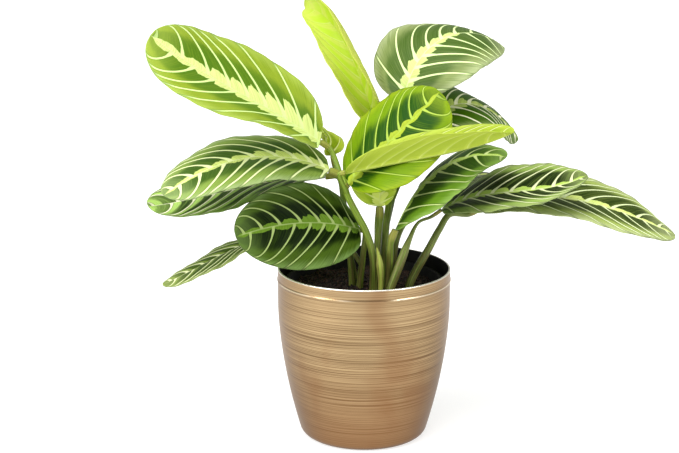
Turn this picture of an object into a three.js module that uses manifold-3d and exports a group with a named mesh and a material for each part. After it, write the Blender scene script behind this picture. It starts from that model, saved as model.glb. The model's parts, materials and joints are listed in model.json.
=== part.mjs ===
// A prayer plant (Maranta) growing in a plastic nursery pot that stands in a round brushed metal cover pot.
// Millimetres and degrees, +Z up. The origin is the middle of the cover pot's flat underside, and -Y is the
// side that the plant shows. Every leaf is a thin curved blade swept along its own midrib.
import * as THREE from 'three';
import { mergeVertices } from 'three/addons/utils/BufferGeometryUtils.js';
import Module from 'manifold-3d';

const wasm = await Module();
wasm.setup();

// Clear gap between pieces that touch on the real plant.
const GAP = 0.3;

// Cover pot: a spun metal shell, straight near the rim and drawn in towards the foot.
const POT_HEIGHT = 120;
const POT_RADIUS = 60;
const POT_WALL = 1.4;
const POT_STRAIGHT_FROM = 96;
const POT_TAPER = 0.28;
const POT_TAPER_POWER = 1.75;
const FOOT_ROUNDING = 5;
const RIM_ROUNDING = 0.7;
const BEAD_HEIGHT = 112;
const BEAD_HALF_WIDTH = 1;
const BEAD_DEPTH = 0.4;
const POT_SIDES = 48;

// Nursery pot: thin black plastic, standing on the cover pot's floor.
const NURSERY_RIM = 112;
const NURSERY_TOP_RADIUS = 53;
const NURSERY_FOOT_RADIUS = 37;
const NURSERY_WALL = 1.2;
const NURSERY_FOOT = POT_WALL + GAP;
const NURSERY_LIP_WIDTH = 2;
const NURSERY_LIP_DROP = 5;
const NURSERY_SIDES = 40;
const DRAIN_HOLES = 4;
const DRAIN_RADIUS = 4;
const DRAIN_CIRCLE = 20;

// Peat soil, slightly heaped in the middle and lumpy on top.
const SOIL_LEVEL = 105;
const SOIL_HEAP = 2;
const SOIL_LUMPS = 0.8;
const SOIL_RINGS = 6;
const STEM_DEPTH = 12;
const STEM_UPRIGHT = 4;
const HOLE_SIDES = 12;
const HOLE_CLEARANCE = 0.6;

// Leaf blades.
const BLADE_THICKNESS = 0.8;
const BLADE_ROWS = 14;
const BLADE_COLUMNS = [-1, -0.72, -0.38, 0, 0.38, 0.72, 1];
const BASE_HALF_WIDTH = 1.3;
const TIP_HALF_WIDTH = 0.6;
const WIDEST_AT = 0.48;
const TIP_BLUNTNESS = 0.5;
const VEIN_SWEEP = 0.5;
const VEIN_BEND = 1.7;
const QUILT_DEPTH = 0.25;
const KEEL_DEPTH = 1;
const MARGIN_WAVE = 0.8;
const WAVE_TURNS = 17;
const MIDRIB_STEPS = 24;

// Stems and leaf stalks.
const STEM_SIDES = 8;
const STEM_SPACING = 9;
const JOINT_LENGTH = 9;
const JOINT_SWELL = 1.25;

const COLOURS = {
  gold: 0xb08d57,
  plastic: 0x17181a,
  peat: 0x2d1d14,
  stem: 0x6d8f35,
  sheath: 0x8fae57,
  bud: 0xb5cf3a,
  dark: 0x2c5a2a,
  mid: 0x4f8a34,
  lime: 0xa6cf35,
};

// base: where the blade meets its stalk. half: half widths left and right of the midrib, looking to the tip.
// heading, rise and roll: the midrib's compass angle, its slope and the blade's bank, at base, middle and
// tip. fold and curl: how far the left and right halves lift at the midrib and bend on towards the margin,
// each at the base and at the tip.
const LEAVES = [
  {
    name: 'leaf_top_left', colour: 'mid', base: [-30, -15, 211], length: 136, half: [37, 37],
    heading: [-162, -163, -170], rise: [38, 31, 41], roll: [-41, -34, -53],
    fold: [[25, 1], [28, 7]], curl: [[11, -14], [8, -17]],
  },
  {
    name: 'leaf_mid_left', colour: 'dark', base: [-24, -21, 193], length: 121, half: [32, 32],
    heading: [-177, -156, -150], rise: [27, -5, -31], roll: [-22, -17, -15],
    fold: [[9, 6], [10, 0]], curl: [[-15, -17], [-10, -26]],
  },
  {
    name: 'leaf_low_left', colour: 'dark', base: [-27, 0, 184], length: 124, half: [32, 34],
    heading: [-183, -163, -153], rise: [-1, -9, -1], roll: [-2, -13, -16],
    fold: [[18, 7], [9, 5]], curl: [[-6, -8], [-10, -17]],
  },
  {
    name: 'leaf_front_left', colour: 'dark', base: [-3, -17, 151], length: 95, half: [31, 26],
    heading: [-145, -151, -159], rise: [21, 4, -16], roll: [-41, -66, -71],
    fold: [[10, 6], [11, 13]], curl: [[-14, -9], [-6, -13]],
  },
  {
    name: 'leaf_rolled_left', colour: 'dark', base: [-44, -5, 146], length: 102, half: [23, 22],
    heading: [-185, -164, -165], rise: [-1, -22, -21], roll: [4, -1, -5],
    fold: [[12, 8], [7, -1]], curl: [[-14, -9], [-12, -23]],
  },
  {
    name: 'leaf_young_upright', colour: 'lime', base: [15, 22, 204], length: 126, half: [18, 22],
    heading: [198, 145, 124], rise: [62, 60, -11], roll: [-87, -92, -68],
    fold: [[12, 6], [13, 3]], curl: [[104, 71], [100, 68]],
  },
  {
    name: 'leaf_top_right', colour: 'dark', base: [27, 4, 236], length: 106, half: [40, 40],
    heading: [34, 31, 14], rise: [83, 21, -41], roll: [28, 18, 12],
    fold: [[4, -7], [6, -7]], curl: [[-8, -23], [-12, -23]],
  },
  {
    name: 'leaf_front_oval', colour: 'mid', base: [-11, -25, 184], length: 87, half: [31, 35],
    heading: [0, 4, 9], rise: [51, 44, 46], roll: [35, 45, 47],
    fold: [[5, -1], [8, 2]], curl: [[-11, -22], [-5, -23]],
  },
  {
    name: 'leaf_young_front', colour: 'lime', base: [-13, -34, 194], length: 120, half: [16, 17],
    heading: [-12, -14, -47], rise: [15, 14, 28], roll: [4, 6, 11],
    fold: [[55, 63], [73, 64]], curl: [[-7, 1], [-6, -17]],
  },
  {
    name: 'leaf_back_right', colour: 'dark', base: [45, 10, 218], length: 84, half: [29, 30],
    heading: [23, 24, 10], rise: [59, -18, -54], roll: [24, 15, 22],
    fold: [[10, -1], [7, 0]], curl: [[-15, -15], [-19, -24]],
  },
  {
    name: 'leaf_folded_right', colour: 'dark', base: [21, -21, 152], length: 98, half: [33, 40],
    heading: [5, 1, -22], rise: [70, 37, -13], roll: [-14, 14, 13],
    fold: [[-21, -5], [-7, -1]], curl: [[-28, -9], [-5, 7]],
  },
  {
    name: 'leaf_upper_right', colour: 'dark', base: [53, -6, 162], length: 103, half: [33, 30],
    heading: [-12, -14, 1], rise: [36, 8, 29], roll: [5, 16, 9],
    fold: [[8, 15], [7, 10]], curl: [[-16, -10], [-17, 6]],
  },
  {
    name: 'leaf_long_right', colour: 'dark', base: [80, 6, 160], length: 140, half: [33, 32],
    heading: [-5, -10, 4], rise: [26, -9, -27], roll: [17, 14, 11],
    fold: [[16, 5], [18, 3]], curl: [[-10, -13], [-10, -17]],
  },
  {
    name: 'leaf_young_left', colour: 'lime', base: [-22, 4, 198], length: 37, half: [10, 17],
    heading: [138, 192, 156], rise: [72, 49, 40], roll: [-36, -4, -24],
    fold: [[25, 18], [15, 11]], curl: [[-12, -16], [-5, -13]],
  },
  {
    name: 'leaf_centre', colour: 'lime', base: [10.3, -13, 166], length: 48, half: [20, 12],
    heading: [90, 90, 90], rise: [80, 88, 96], roll: [0, 0, 0],
    fold: [[10, 5], [10, 5]], curl: [[-10, -15], [-10, -15]],
  },
  {
    name: 'leaf_back_high', colour: 'mid', base: [22, 14, 179], length: 112, half: [31, 31],
    heading: [85, 92, 100], rise: [30, 8, -26], roll: [0, 0, 0],
    fold: [[12, 4], [12, 4]], curl: [[-14, -16], [-14, -16]],
  },
  {
    name: 'leaf_back_left', colour: 'dark', base: [-24, 12, 159], length: 116, half: [32, 32],
    heading: [150, 147, 140], rise: [22, 0, -28], roll: [5, 5, 5],
    fold: [[12, 4], [12, 4]], curl: [[-14, -16], [-14, -16]],
  },
  {
    name: 'leaf_back_low', colour: 'dark', base: [-22, 22, 142], length: 104, half: [30, 30],
    heading: [128, 122, 116], rise: [8, -6, -34], roll: [0, 0, 0],
    fold: [[10, 4], [10, 4]], curl: [[-12, -18], [-12, -18]],
  },
  {
    name: 'leaf_far_right', colour: 'dark', base: [46, 24, 166], length: 114, half: [30, 30],
    heading: [48, 42, 36], rise: [14, -4, -28], roll: [-4, -4, -4],
    fold: [[10, 4], [10, 4]], curl: [[-14, -16], [-14, -16]],
  },
];

// A shoot stands in the soil at its foot and passes through its path to its leaf. radius: evenly spaced
// values from foot to end. Its side stalks grow out of it from a point inside it, each to a leaf of its own.
// joint: the length of the swollen end under the leaf, where it is shorter than usual.
const SHOOTS = [
  {
    name: 'shoot_left', colour: 'stem', foot: [6, -21], radius: [2.8, 2.5, 2],
    path: [[5.6, -24, 134], [1, -26, 151], [-5.3, -28, 164], [-11.8, -27, 177]], leaf: 'leaf_mid_left',
    stalks: [
      { from: [-13.9, -24.3, 183], path: [], leaf: 'leaf_top_left', radius: [1.8, 1.7] },
      { from: [-11, -27, 176], path: [], leaf: 'leaf_front_oval', radius: [1.9, 1.6], joint: 4 },
      { from: [-12, -27, 178], path: [], leaf: 'leaf_young_front', radius: [1.7, 1.5], joint: 4 },
      { from: [-12.5, -26, 180], path: [[-17, -8, 187]], leaf: 'leaf_young_left', radius: [1.6, 1.4] },
    ],
  },
  {
    name: 'shoot_low_left', colour: 'stem', foot: [-8, -2], radius: [2.7, 1.8],
    path: [[-10, -2, 135], [-14, -3, 165]], leaf: 'leaf_low_left',
  },
  {
    name: 'shoot_front_left', colour: 'stem', foot: [-3, -9], radius: [2.7, 1.8],
    path: [[-1, -11, 130]], leaf: 'leaf_front_left', joint: 4,
    stalks: [
      { from: [-1.6, -10.4, 124], path: [[-14, -6, 140]], leaf: 'leaf_rolled_left', radius: [1.7, 1.5] },
    ],
  },
  {
    name: 'shoot_centre', colour: 'stem', foot: [8.3, -14], radius: [2.7, 2.3],
    path: [[9, -14, 140]], leaf: 'leaf_centre',
    stalks: [
      {
        from: [8.9, -14, 135], path: [[9.5, -3, 158], [16.5, 12, 183]], leaf: 'leaf_young_upright',
        radius: [2, 1.8],
      },
    ],
  },
  {
    name: 'shoot_tall', colour: 'stem', foot: [13.5, -6], radius: [2.9, 2.4, 1.9],
    path: [[15, -5, 150], [21, 0, 190]], leaf: 'leaf_top_right',
    stalks: [
      { from: [16.5, -3.7, 162], path: [[29, 4, 190]], leaf: 'leaf_back_right', radius: [1.9, 1.7] },
      { from: [14.9, -5, 148], path: [], leaf: 'leaf_back_high', radius: [1.9, 1.7] },
    ],
  },
  {
    name: 'shoot_right', colour: 'stem', foot: [16.5, -16.5], radius: [3, 2.8, 2],
    path: [[17.3, -17.8, 125]], leaf: 'leaf_folded_right',
  },
  {
    name: 'shoot_sheathed', colour: 'sheath', foot: [17.2, -24],
    radius: [3.1, 3.1, 3.1, 3.1, 2.9, 1.7, 1.1, 1.1, 1.1],
    path: [[20.9, -23, 120], [24.6, -21, 129], [30.4, -17, 143.5], [36.5, -13, 154.5]],
    leaf: 'leaf_upper_right',
  },
  {
    name: 'shoot_far_right', colour: 'sheath', foot: [31.3, -9], radius: [3, 2.9, 2.3, 1.8],
    path: [[35.2, -7, 118], [44, -5, 133.3], [51.8, -3, 147.6], [58.8, 0, 157.3]], leaf: 'leaf_long_right',
  },
  {
    name: 'shoot_back_left', colour: 'stem', foot: [-7, 13], radius: [2.8, 1.8],
    path: [[-12, 13, 135]], leaf: 'leaf_back_left',
    stalks: [{ from: [-10, 13, 125], path: [], leaf: 'leaf_back_low', radius: [1.8, 1.6] }],
  },
  {
    name: 'shoot_back_right', colour: 'stem', foot: [20, 10], radius: [2.8, 1.8],
    path: [[24, 11, 140]], leaf: 'leaf_far_right',
  },
  {
    name: 'young_shoot', colour: 'bud', foot: [10.8, -28],
    radius: [1.8, 1.8, 1.8, 1.8, 1.8, 2.2, 2.6, 1.5, 0.4],
    path: [[10.8, -28, 120], [10.4, -28, 127], [9.7, -28, 134], [8.2, -28, 141]],
  },
];

const radians = THREE.MathUtils.degToRad;

// A quadratic through three values, met at the base, the middle and the tip of a leaf.
function along([first, middle, last], u) {
  return first * (1 - u) * (1 - 2 * u) + middle * 4 * u * (1 - u) + last * u * (2 * u - 1);
}

function between([first, last], u) {
  return first + (last - first) * u;
}

// The value at a share of the way along a list of evenly spaced values.
function spread(values, share) {
  const place = Math.min(share * (values.length - 1), values.length - 1.0001);
  const before = Math.floor(place);
  return between([values[before], values[before + 1]], place - before);
}

// The blade's directions at u: ahead along the midrib, left across the blade, and up out of its top.
function bladeFrame(leaf, u) {
  const heading = radians(along(leaf.heading, u));
  const rise = radians(along(leaf.rise, u));
  const roll = radians(along(leaf.roll, u));
  const ahead = new THREE.Vector3(
    Math.cos(rise) * Math.cos(heading),
    Math.cos(rise) * Math.sin(heading),
    Math.sin(rise),
  );
  const level = new THREE.Vector3(-Math.sin(heading), Math.cos(heading), 0);
  const above = new THREE.Vector3().crossVectors(ahead, level);
  const left = level.clone().multiplyScalar(Math.cos(roll)).addScaledVector(above, Math.sin(roll));
  const up = above.clone().multiplyScalar(Math.cos(roll)).addScaledVector(level, -Math.sin(roll));
  return { ahead, left, up };
}

// Points down the midrib, one step of equal length at a time.
function midribPoints(leaf) {
  const points = [new THREE.Vector3(...leaf.base)];
  for (let step = 0; step < MIDRIB_STEPS; step += 1) {
    const { ahead } = bladeFrame(leaf, (step + 0.5) / MIDRIB_STEPS);
    points.push(points[step].clone().addScaledVector(ahead, leaf.length / MIDRIB_STEPS));
  }
  return points;
}

// The width of a half blade as a share of its widest: an ellipse to the widest place and a blunter or
// sharper one beyond it.
function bladeOutline(u) {
  const towardsBase = Math.max(0, 1 - u / WIDEST_AT);
  const towardsTip = Math.max(0, (u - WIDEST_AT) / (1 - WIDEST_AT));
  return Math.sqrt(1 - towardsBase ** 2) * Math.max(0, 1 - towardsTip ** 2) ** TIP_BLUNTNESS;
}

// A point of the blade's middle layer and the normal there. Rows follow the side veins, so they start at
// row along the midrib and sweep towards the tip as across goes from 0 to a margin at -1 or 1.
function bladePoint(leaf, midrib, row, across, lift) {
  const reach = Math.abs(across);
  const side = across < 0 ? -1 : 1;
  const half = side > 0 ? 0 : 1;
  const sweep = VEIN_SWEEP * reach ** VEIN_BEND * (1 - row) * (1 - (1 - row) ** 4);
  const u = row + sweep;
  const { left, up } = bladeFrame(leaf, u);
  const step = Math.min(MIDRIB_STEPS - 1, Math.floor(u * MIDRIB_STEPS));
  const point = midrib[step].clone().lerp(midrib[step + 1], u * MIDRIB_STEPS - step);
  const width = leaf.half[half] * bladeOutline(u) + between([BASE_HALF_WIDTH, TIP_HALF_WIDTH], u);
  const fold = radians(between(leaf.fold[half], u)) * Math.sqrt(bladeOutline(u));
  const curl = radians(between(leaf.curl[half], u)) || 1e-4;
  const slope = fold + curl * reach;
  point.addScaledVector(left, (side * width * (Math.sin(slope) - Math.sin(fold))) / curl);
  point.addScaledVector(up, (width * (Math.cos(fold) - Math.cos(slope))) / curl);
  const normal = up.clone().multiplyScalar(reach > 0 ? Math.cos(slope) : 1);
  if (reach > 0) normal.addScaledVector(left, -side * Math.sin(slope));
  const wave = MARGIN_WAVE * reach ** 2 * Math.sin(WAVE_TURNS * u + side) * (1 - u) * u * 4;
  point.addScaledVector(normal, lift * (1 - (1 - reach) ** 4) * QUILT_DEPTH + wave);
  return { point, normal };
}

// One closed blade: a top and a bottom layer split into triangles alike, and a thin edge round them.
function bladeGeometry(leaf) {
  const midrib = midribPoints(leaf);
  const columns = BLADE_COLUMNS.length;
  const top = [];
  const bottom = [];
  for (let i = 0; i <= BLADE_ROWS; i += 1) {
    const row = i / BLADE_ROWS;
    const inside = i > 0 && i < BLADE_ROWS;
    const lift = inside ? (i % 2 ? 1 : -1) : 0;
    for (const across of BLADE_COLUMNS) {
      const { point, normal } = bladePoint(leaf, midrib, row, across, across === 0 ? 0 : lift);
      const keel = across === 0 ? KEEL_DEPTH * (1 - row) : 0;
      top.push(point.clone().addScaledVector(normal, BLADE_THICKNESS / 2));
      bottom.push(point.clone().addScaledVector(normal, -BLADE_THICKNESS / 2 - keel));
    }
  }
  const faces = [];
  const quad = (a, b, c, d) => faces.push([a, b, c], [a, c, d]);
  const under = top.length;
  for (let i = 0; i < BLADE_ROWS; i += 1) {
    for (let j = 0; j < columns - 1; j += 1) {
      const a = i * columns + j;
      const b = a + columns;
      quad(a, b, b + 1, a + 1);
      faces.push([under + a, under + b + 1, under + b], [under + a, under + a + 1, under + b + 1]);
    }
    const right = i * columns;
    quad(right, under + right, under + right + columns, right + columns);
    const left = right + columns - 1;
    quad(left, left + columns, under + left + columns, under + left);
  }
  const last = BLADE_ROWS * columns;
  for (let j = 0; j < columns - 1; j += 1) {
    quad(j, j + 1, under + j + 1, under + j);
    quad(last + j, under + last + j, under + last + j + 1, last + j + 1);
  }
  return closedGeometry([...top, ...bottom], faces);
}

function closedGeometry(points, faces) {
  const geometry = new THREE.BufferGeometry();
  const position = new Float32Array(points.flatMap((point) => point.toArray()));
  geometry.setAttribute('position', new THREE.BufferAttribute(position, 3));
  geometry.setIndex(faces.flat());
  return geometry;
}

// A closed round tube along a curve whose radius changes with the share of its length.
function tubeGeometry(curve, radiusAt) {
  const steps = Math.max(4, Math.round(curve.getLength() / STEM_SPACING));
  const frames = curve.computeFrenetFrames(steps);
  const points = [];
  const faces = [];
  for (let i = 0; i <= steps; i += 1) {
    const share = i / steps;
    const centre = curve.getPointAt(share);
    for (let k = 0; k < STEM_SIDES; k += 1) {
      const angle = (k / STEM_SIDES) * 2 * Math.PI;
      const spoke = frames.normals[i].clone().multiplyScalar(Math.cos(angle));
      spoke.addScaledVector(frames.binormals[i], Math.sin(angle));
      points.push(centre.clone().addScaledVector(spoke, radiusAt(share)));
      const a = i * STEM_SIDES + k;
      const b = i * STEM_SIDES + ((k + 1) % STEM_SIDES);
      if (i < steps) faces.push([a, b, b + STEM_SIDES], [a, b + STEM_SIDES, a + STEM_SIDES]);
    }
  }
  const end = steps * STEM_SIDES;
  for (let k = 1; k < STEM_SIDES - 1; k += 1) {
    faces.push([0, k + 1, k], [end, end + k, end + k + 1]);
  }
  return closedGeometry(points, faces);
}

// The same shape as a solid that can be joined to others or cut by them.
function solidOf(geometry) {
  const plain = new THREE.BufferGeometry();
  plain.setAttribute('position', geometry.getAttribute('position'));
  plain.setIndex(geometry.index);
  const merged = mergeVertices(plain, 1e-4);
  return new wasm.Manifold(
    new wasm.Mesh({
      numProp: 3,
      vertProperties: merged.getAttribute('position').array,
      triVerts: new Uint32Array(merged.index.array),
    }),
  );
}

function geometryOf(solid) {
  const { vertProperties, triVerts } = solid.getMesh();
  const geometry = new THREE.BufferGeometry();
  geometry.setAttribute('position', new THREE.BufferAttribute(vertProperties, 3));
  geometry.setIndex(new THREE.BufferAttribute(triVerts, 1));
  return geometry;
}

// A profile of [radius, height] pairs turned about the upright axis.
function turned(profile, sides) {
  const points = profile.map(([radius, height]) => new THREE.Vector2(radius, height));
  return new THREE.LatheGeometry(points, sides).rotateX(Math.PI / 2);
}

function uprightCylinder(radius, from, to, x, y, sides) {
  const geometry = new THREE.CylinderGeometry(radius, radius, to - from, sides).rotateX(Math.PI / 2);
  return geometry.translate(x, y, (from + to) / 2);
}

// The cover pot's outer radius: full near the rim, drawn in below, and rounded under at the foot.
function potRadius(height) {
  const drop = Math.max(0, 1 - height / POT_STRAIGHT_FROM);
  const wall = POT_RADIUS * (1 - POT_TAPER * drop ** POT_TAPER_POWER);
  const low = Math.max(0, 1 - height / FOOT_ROUNDING);
  return wall - FOOT_ROUNDING * (1 - Math.sqrt(1 - low ** 2));
}

function coverPotGeometry() {
  const heights = [0, 0.6, 2, FOOT_ROUNDING, 14, 26, 40, 56, 74, POT_STRAIGHT_FROM];
  const outside = heights.map((height) => [potRadius(height), height]);
  outside.push(
    [POT_RADIUS, BEAD_HEIGHT - BEAD_HALF_WIDTH],
    [POT_RADIUS + BEAD_DEPTH, BEAD_HEIGHT],
    [POT_RADIUS, BEAD_HEIGHT + BEAD_HALF_WIDTH],
    [POT_RADIUS, POT_HEIGHT - RIM_ROUNDING],
    [POT_RADIUS - RIM_ROUNDING, POT_HEIGHT],
  );
  const floor = POT_WALL;
  const inside = [POT_HEIGHT - RIM_ROUNDING, POT_STRAIGHT_FROM, 56, 26, FOOT_ROUNDING + floor]
    .map((height) => [potRadius(height) - POT_WALL, height]);
  const profile = [[0, 0], ...outside, ...inside, [potRadius(floor) - POT_WALL, floor], [0, floor]];
  return turned(profile, POT_SIDES);
}

// The nursery pot's outer radius at a height above its foot.
function nurseryRadius(height) {
  const share = (height - NURSERY_FOOT) / (NURSERY_RIM - NURSERY_FOOT);
  return between([NURSERY_FOOT_RADIUS, NURSERY_TOP_RADIUS], share);
}

function nurseryPotGeometry() {
  const lip = NURSERY_TOP_RADIUS + NURSERY_LIP_WIDTH;
  const underLip = NURSERY_RIM - NURSERY_LIP_DROP;
  const floor = NURSERY_FOOT + NURSERY_WALL;
  const shell = solidOf(turned([
    [0, NURSERY_FOOT],
    [NURSERY_FOOT_RADIUS, NURSERY_FOOT],
    [nurseryRadius(underLip), underLip],
    [lip, underLip],
    [lip, NURSERY_RIM],
    [NURSERY_TOP_RADIUS - NURSERY_WALL, NURSERY_RIM],
    [nurseryRadius(floor) - NURSERY_WALL, floor],
    [0, floor],
  ], NURSERY_SIDES));
  let drained = shell;
  for (let k = 0; k < DRAIN_HOLES; k += 1) {
    const angle = ((k + 0.5) / DRAIN_HOLES) * 2 * Math.PI;
    const x = DRAIN_CIRCLE * Math.cos(angle);
    const y = DRAIN_CIRCLE * Math.sin(angle);
    drained = drained.subtract(solidOf(uprightCylinder(DRAIN_RADIUS, 0, floor + 1, x, y, HOLE_SIDES)));
  }
  return geometryOf(drained);
}

// The height of the soil's top: a low heap with lumps a few centimetres apart.
function soilTop(x, y) {
  const far = Math.hypot(x, y) / NURSERY_TOP_RADIUS;
  const lumps = Math.sin(x / 5.1 + 1) * Math.cos(y / 6.3) + Math.sin((x + y) / 3.7) * 0.6;
  return SOIL_LEVEL + SOIL_HEAP * (1 - far ** 2) + SOIL_LUMPS * lumps;
}

function soilGeometry() {
  const floor = NURSERY_FOOT + NURSERY_WALL + GAP;
  const inner = (height) => nurseryRadius(height) - NURSERY_WALL - GAP;
  const points = [new THREE.Vector3(0, 0, soilTop(0, 0))];
  const faces = [];
  for (let ring = 1; ring <= SOIL_RINGS + 1; ring += 1) {
    const isFloor = ring > SOIL_RINGS;
    for (let k = 0; k < NURSERY_SIDES; k += 1) {
      const angle = (k / NURSERY_SIDES) * 2 * Math.PI;
      const radius = isFloor ? inner(floor) : (inner(SOIL_LEVEL - 2) * ring) / SOIL_RINGS;
      const x = radius * Math.cos(angle);
      const y = radius * Math.sin(angle);
      points.push(new THREE.Vector3(x, y, isFloor ? floor : soilTop(x, y)));
      const a = 1 + (ring - 1) * NURSERY_SIDES + k;
      const b = 1 + (ring - 1) * NURSERY_SIDES + ((k + 1) % NURSERY_SIDES);
      if (ring === 1) faces.push([0, a, b]);
      else faces.push([a - NURSERY_SIDES, a, b], [a - NURSERY_SIDES, b, b - NURSERY_SIDES]);
    }
  }
  points.push(new THREE.Vector3(0, 0, floor));
  const ringStart = 1 + SOIL_RINGS * NURSERY_SIDES;
  for (let k = 0; k < NURSERY_SIDES; k += 1) {
    faces.push([points.length - 1, ringStart + ((k + 1) % NURSERY_SIDES), ringStart + k]);
  }
  let soil = solidOf(closedGeometry(points, faces));
  for (const { foot, radius } of SHOOTS) {
    const hole = (radius[0] + HOLE_CLEARANCE) / Math.cos(Math.PI / HOLE_SIDES);
    const bottom = SOIL_LEVEL - STEM_DEPTH - GAP;
    soil = soil.subtract(solidOf(uprightCylinder(hole, bottom, POT_HEIGHT, ...foot, HOLE_SIDES)));
  }
  return geometryOf(soil);
}

// The last stretch of a stalk, which runs into its blade's midrib and stops a gap short of it.
function arrival(leaf, joint) {
  const { ahead } = bladeFrame(leaf, 0);
  const base = new THREE.Vector3(...leaf.base);
  return [base.clone().addScaledVector(ahead, -joint), base.clone().addScaledVector(ahead, -GAP)];
}

function stalkGeometry(start, { path, leaf, radius, joint = JOINT_LENGTH }) {
  const middle = path.map((point) => new THREE.Vector3(...point));
  const end = leaf ? arrival(LEAVES.find(({ name }) => name === leaf), joint) : [];
  const curve = new THREE.CatmullRomCurve3([...start, ...middle, ...end], false, 'centripetal');
  const swollenFrom = leaf ? 1 - joint / curve.getLength() : 1;
  return tubeGeometry(curve, (share) => {
    const plain = spread(radius, share);
    return share > swollenFrom ? plain * JOINT_SWELL : plain;
  });
}

// A shoot stands upright in its hole, bends away above the soil and ends at a leaf, with its side stalks
// grown on to it.
function shootGeometry(shoot) {
  const [x, y] = shoot.foot;
  const upright = [
    new THREE.Vector3(x, y, SOIL_LEVEL - STEM_DEPTH),
    new THREE.Vector3(x, y, SOIL_LEVEL + STEM_UPRIGHT),
  ];
  let solid = solidOf(stalkGeometry(upright, shoot));
  for (const stalk of shoot.stalks ?? []) {
    solid = solid.add(solidOf(stalkGeometry([new THREE.Vector3(...stalk.from)], stalk)));
  }
  return geometryOf(solid);
}

const plant = new THREE.Group();

function place(name, geometry, colour, roughness, metalness = 0) {
  const material = new THREE.MeshStandardMaterial({ color: COLOURS[colour], roughness, metalness });
  const mesh = new THREE.Mesh(geometry, material);
  mesh.name = name;
  plant.add(mesh);
}

place('cover_pot', coverPotGeometry(), 'gold', 0.35, 1);
place('nursery_pot', nurseryPotGeometry(), 'plastic', 0.5);
place('soil', soilGeometry(), 'peat', 0.95);
for (const shoot of SHOOTS) place(shoot.name, shootGeometry(shoot), shoot.colour, 0.45);
for (const leaf of LEAVES) place(leaf.name, bladeGeometry(leaf), leaf.colour, 0.45);

export default plant;
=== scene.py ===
"""A prayer plant with herringbone leaves, growing in a nursery pot inside a brushed gold cover pot.

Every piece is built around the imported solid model, in the same frame: metres, +Z up, the origin under the
middle of the pot, and -Y the side that the plant shows. Leaves and stalks repeat the measures of the solids.
"""
import json
import math
from functools import reduce

import bpy
import numpy as np
from mathutils import Matrix, Vector, noise


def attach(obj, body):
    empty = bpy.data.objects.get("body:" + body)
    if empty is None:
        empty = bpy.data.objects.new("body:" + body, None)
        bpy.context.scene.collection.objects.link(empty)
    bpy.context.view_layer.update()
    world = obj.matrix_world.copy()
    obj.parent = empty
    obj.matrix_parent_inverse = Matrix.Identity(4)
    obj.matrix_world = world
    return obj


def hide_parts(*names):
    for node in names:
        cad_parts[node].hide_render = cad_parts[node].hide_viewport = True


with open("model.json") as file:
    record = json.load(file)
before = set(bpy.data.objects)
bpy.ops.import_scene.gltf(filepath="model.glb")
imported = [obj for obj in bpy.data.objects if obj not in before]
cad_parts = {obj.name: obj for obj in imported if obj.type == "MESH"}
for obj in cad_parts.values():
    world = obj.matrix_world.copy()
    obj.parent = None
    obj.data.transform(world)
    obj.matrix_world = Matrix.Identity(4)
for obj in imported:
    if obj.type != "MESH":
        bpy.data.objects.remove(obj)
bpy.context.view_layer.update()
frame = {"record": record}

bl_info = {
    "name": "Potted prayer plant",
    "version": (1, 0, 0),
    "blender": (4, 5, 0),
    "location": "3D View > Sidebar > Prayer plant",
    "description": "Dresses the solid model of a potted prayer plant",
    "category": "Add Mesh",
}

MM = 0.001
BODY = "root"

# Cover pot, in millimetres.
POT_HEIGHT = 120
POT_RADIUS = 60
POT_WALL = 1.4
POT_STRAIGHT_FROM = 96
POT_TAPER = 0.28
POT_TAPER_POWER = 1.75
FOOT_ROUNDING = 5
RIM_ROUNDING = 0.7
BEAD_HEIGHT = 112
BEAD_DEPTH = 0.45
BEAD_HALF_WIDTH = 1.6
POT_SIDES = 224

# Nursery pot and soil.
NURSERY_RIM = 112
NURSERY_FOOT = 1.7
NURSERY_TOP_RADIUS = 53
NURSERY_FOOT_RADIUS = 37
NURSERY_WALL = 1.2
NURSERY_LIP_WIDTH = 2
NURSERY_LIP_DROP = 5
DRAIN_HOLES = 4
DRAIN_RADIUS = 4
DRAIN_CIRCLE = 20
NURSERY_SIDES = 120
SOIL_LEVEL = 105
SOIL_HEAP = 2
SOIL_LUMPS = 0.8
STEM_DEPTH = 12
STEM_UPRIGHT = 4
GAP = 0.3

# Leaf blades, with the solids' own rules.
BASE_HALF_WIDTH = 1.3
TIP_HALF_WIDTH = 0.6
WIDEST_AT = 0.48
TIP_BLUNTNESS = 0.5
VEIN_SWEEP = 0.5
VEIN_BEND = 1.7
WAVE_TURNS = 17
MIDRIB_STEPS = 240
BLADE_ROWS = 132
BLADE_COLUMNS = 58
COLUMN_CROWDING = 1.35
FLUTTER = 0.25
FLUTTER_TURNS = 61
GROOVE_DEPTH = 0.35
GROOVE_WIDTH = 1.1
FEWEST_VEINS = 6
LENGTH_FOR_ANOTHER_VEIN = 40
VEIN_REACH = 0.64
VEIN_REACH_MORE_AT_TIP = 0.18
VEIN_CURVE = 1.38
VEIN_FAN = 4.5
VEIN_CROWDING = 0.78
FIRST_VEIN = 0.3
VEIN_UNEVENNESS = 0.13
MIDRIB_WIDTH = 1.7

# The pattern on a blade, in millimetres and in shares of the half width of the band or of a vein.
BAND_CORE = 0.38
BAND_LOBES = 0.95
BAND_TEETH = 1.1
BAND_AT_TIP = 0.3
LOBE_LEAN = 0.9
FLARE_LENGTH = 6.0
VEIN_FLARE = 0.8
VEIN_TAPER = 0.35
# How far the painted shade in the furrow beside each vein reaches past the vein.
FURROW_SHADE_WIDTH = 0.5
LIGHT_THROUGH = 0.25

# Where the pot's rim is painted near white, as bare metal and a painted highlight, in metres, and turns in
# radians.
BRIGHT_RIM_BAND = (0.1191, 0.1196)
CRUMB_TURN = 6.28
FULL_TURN = 2 * math.pi

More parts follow.
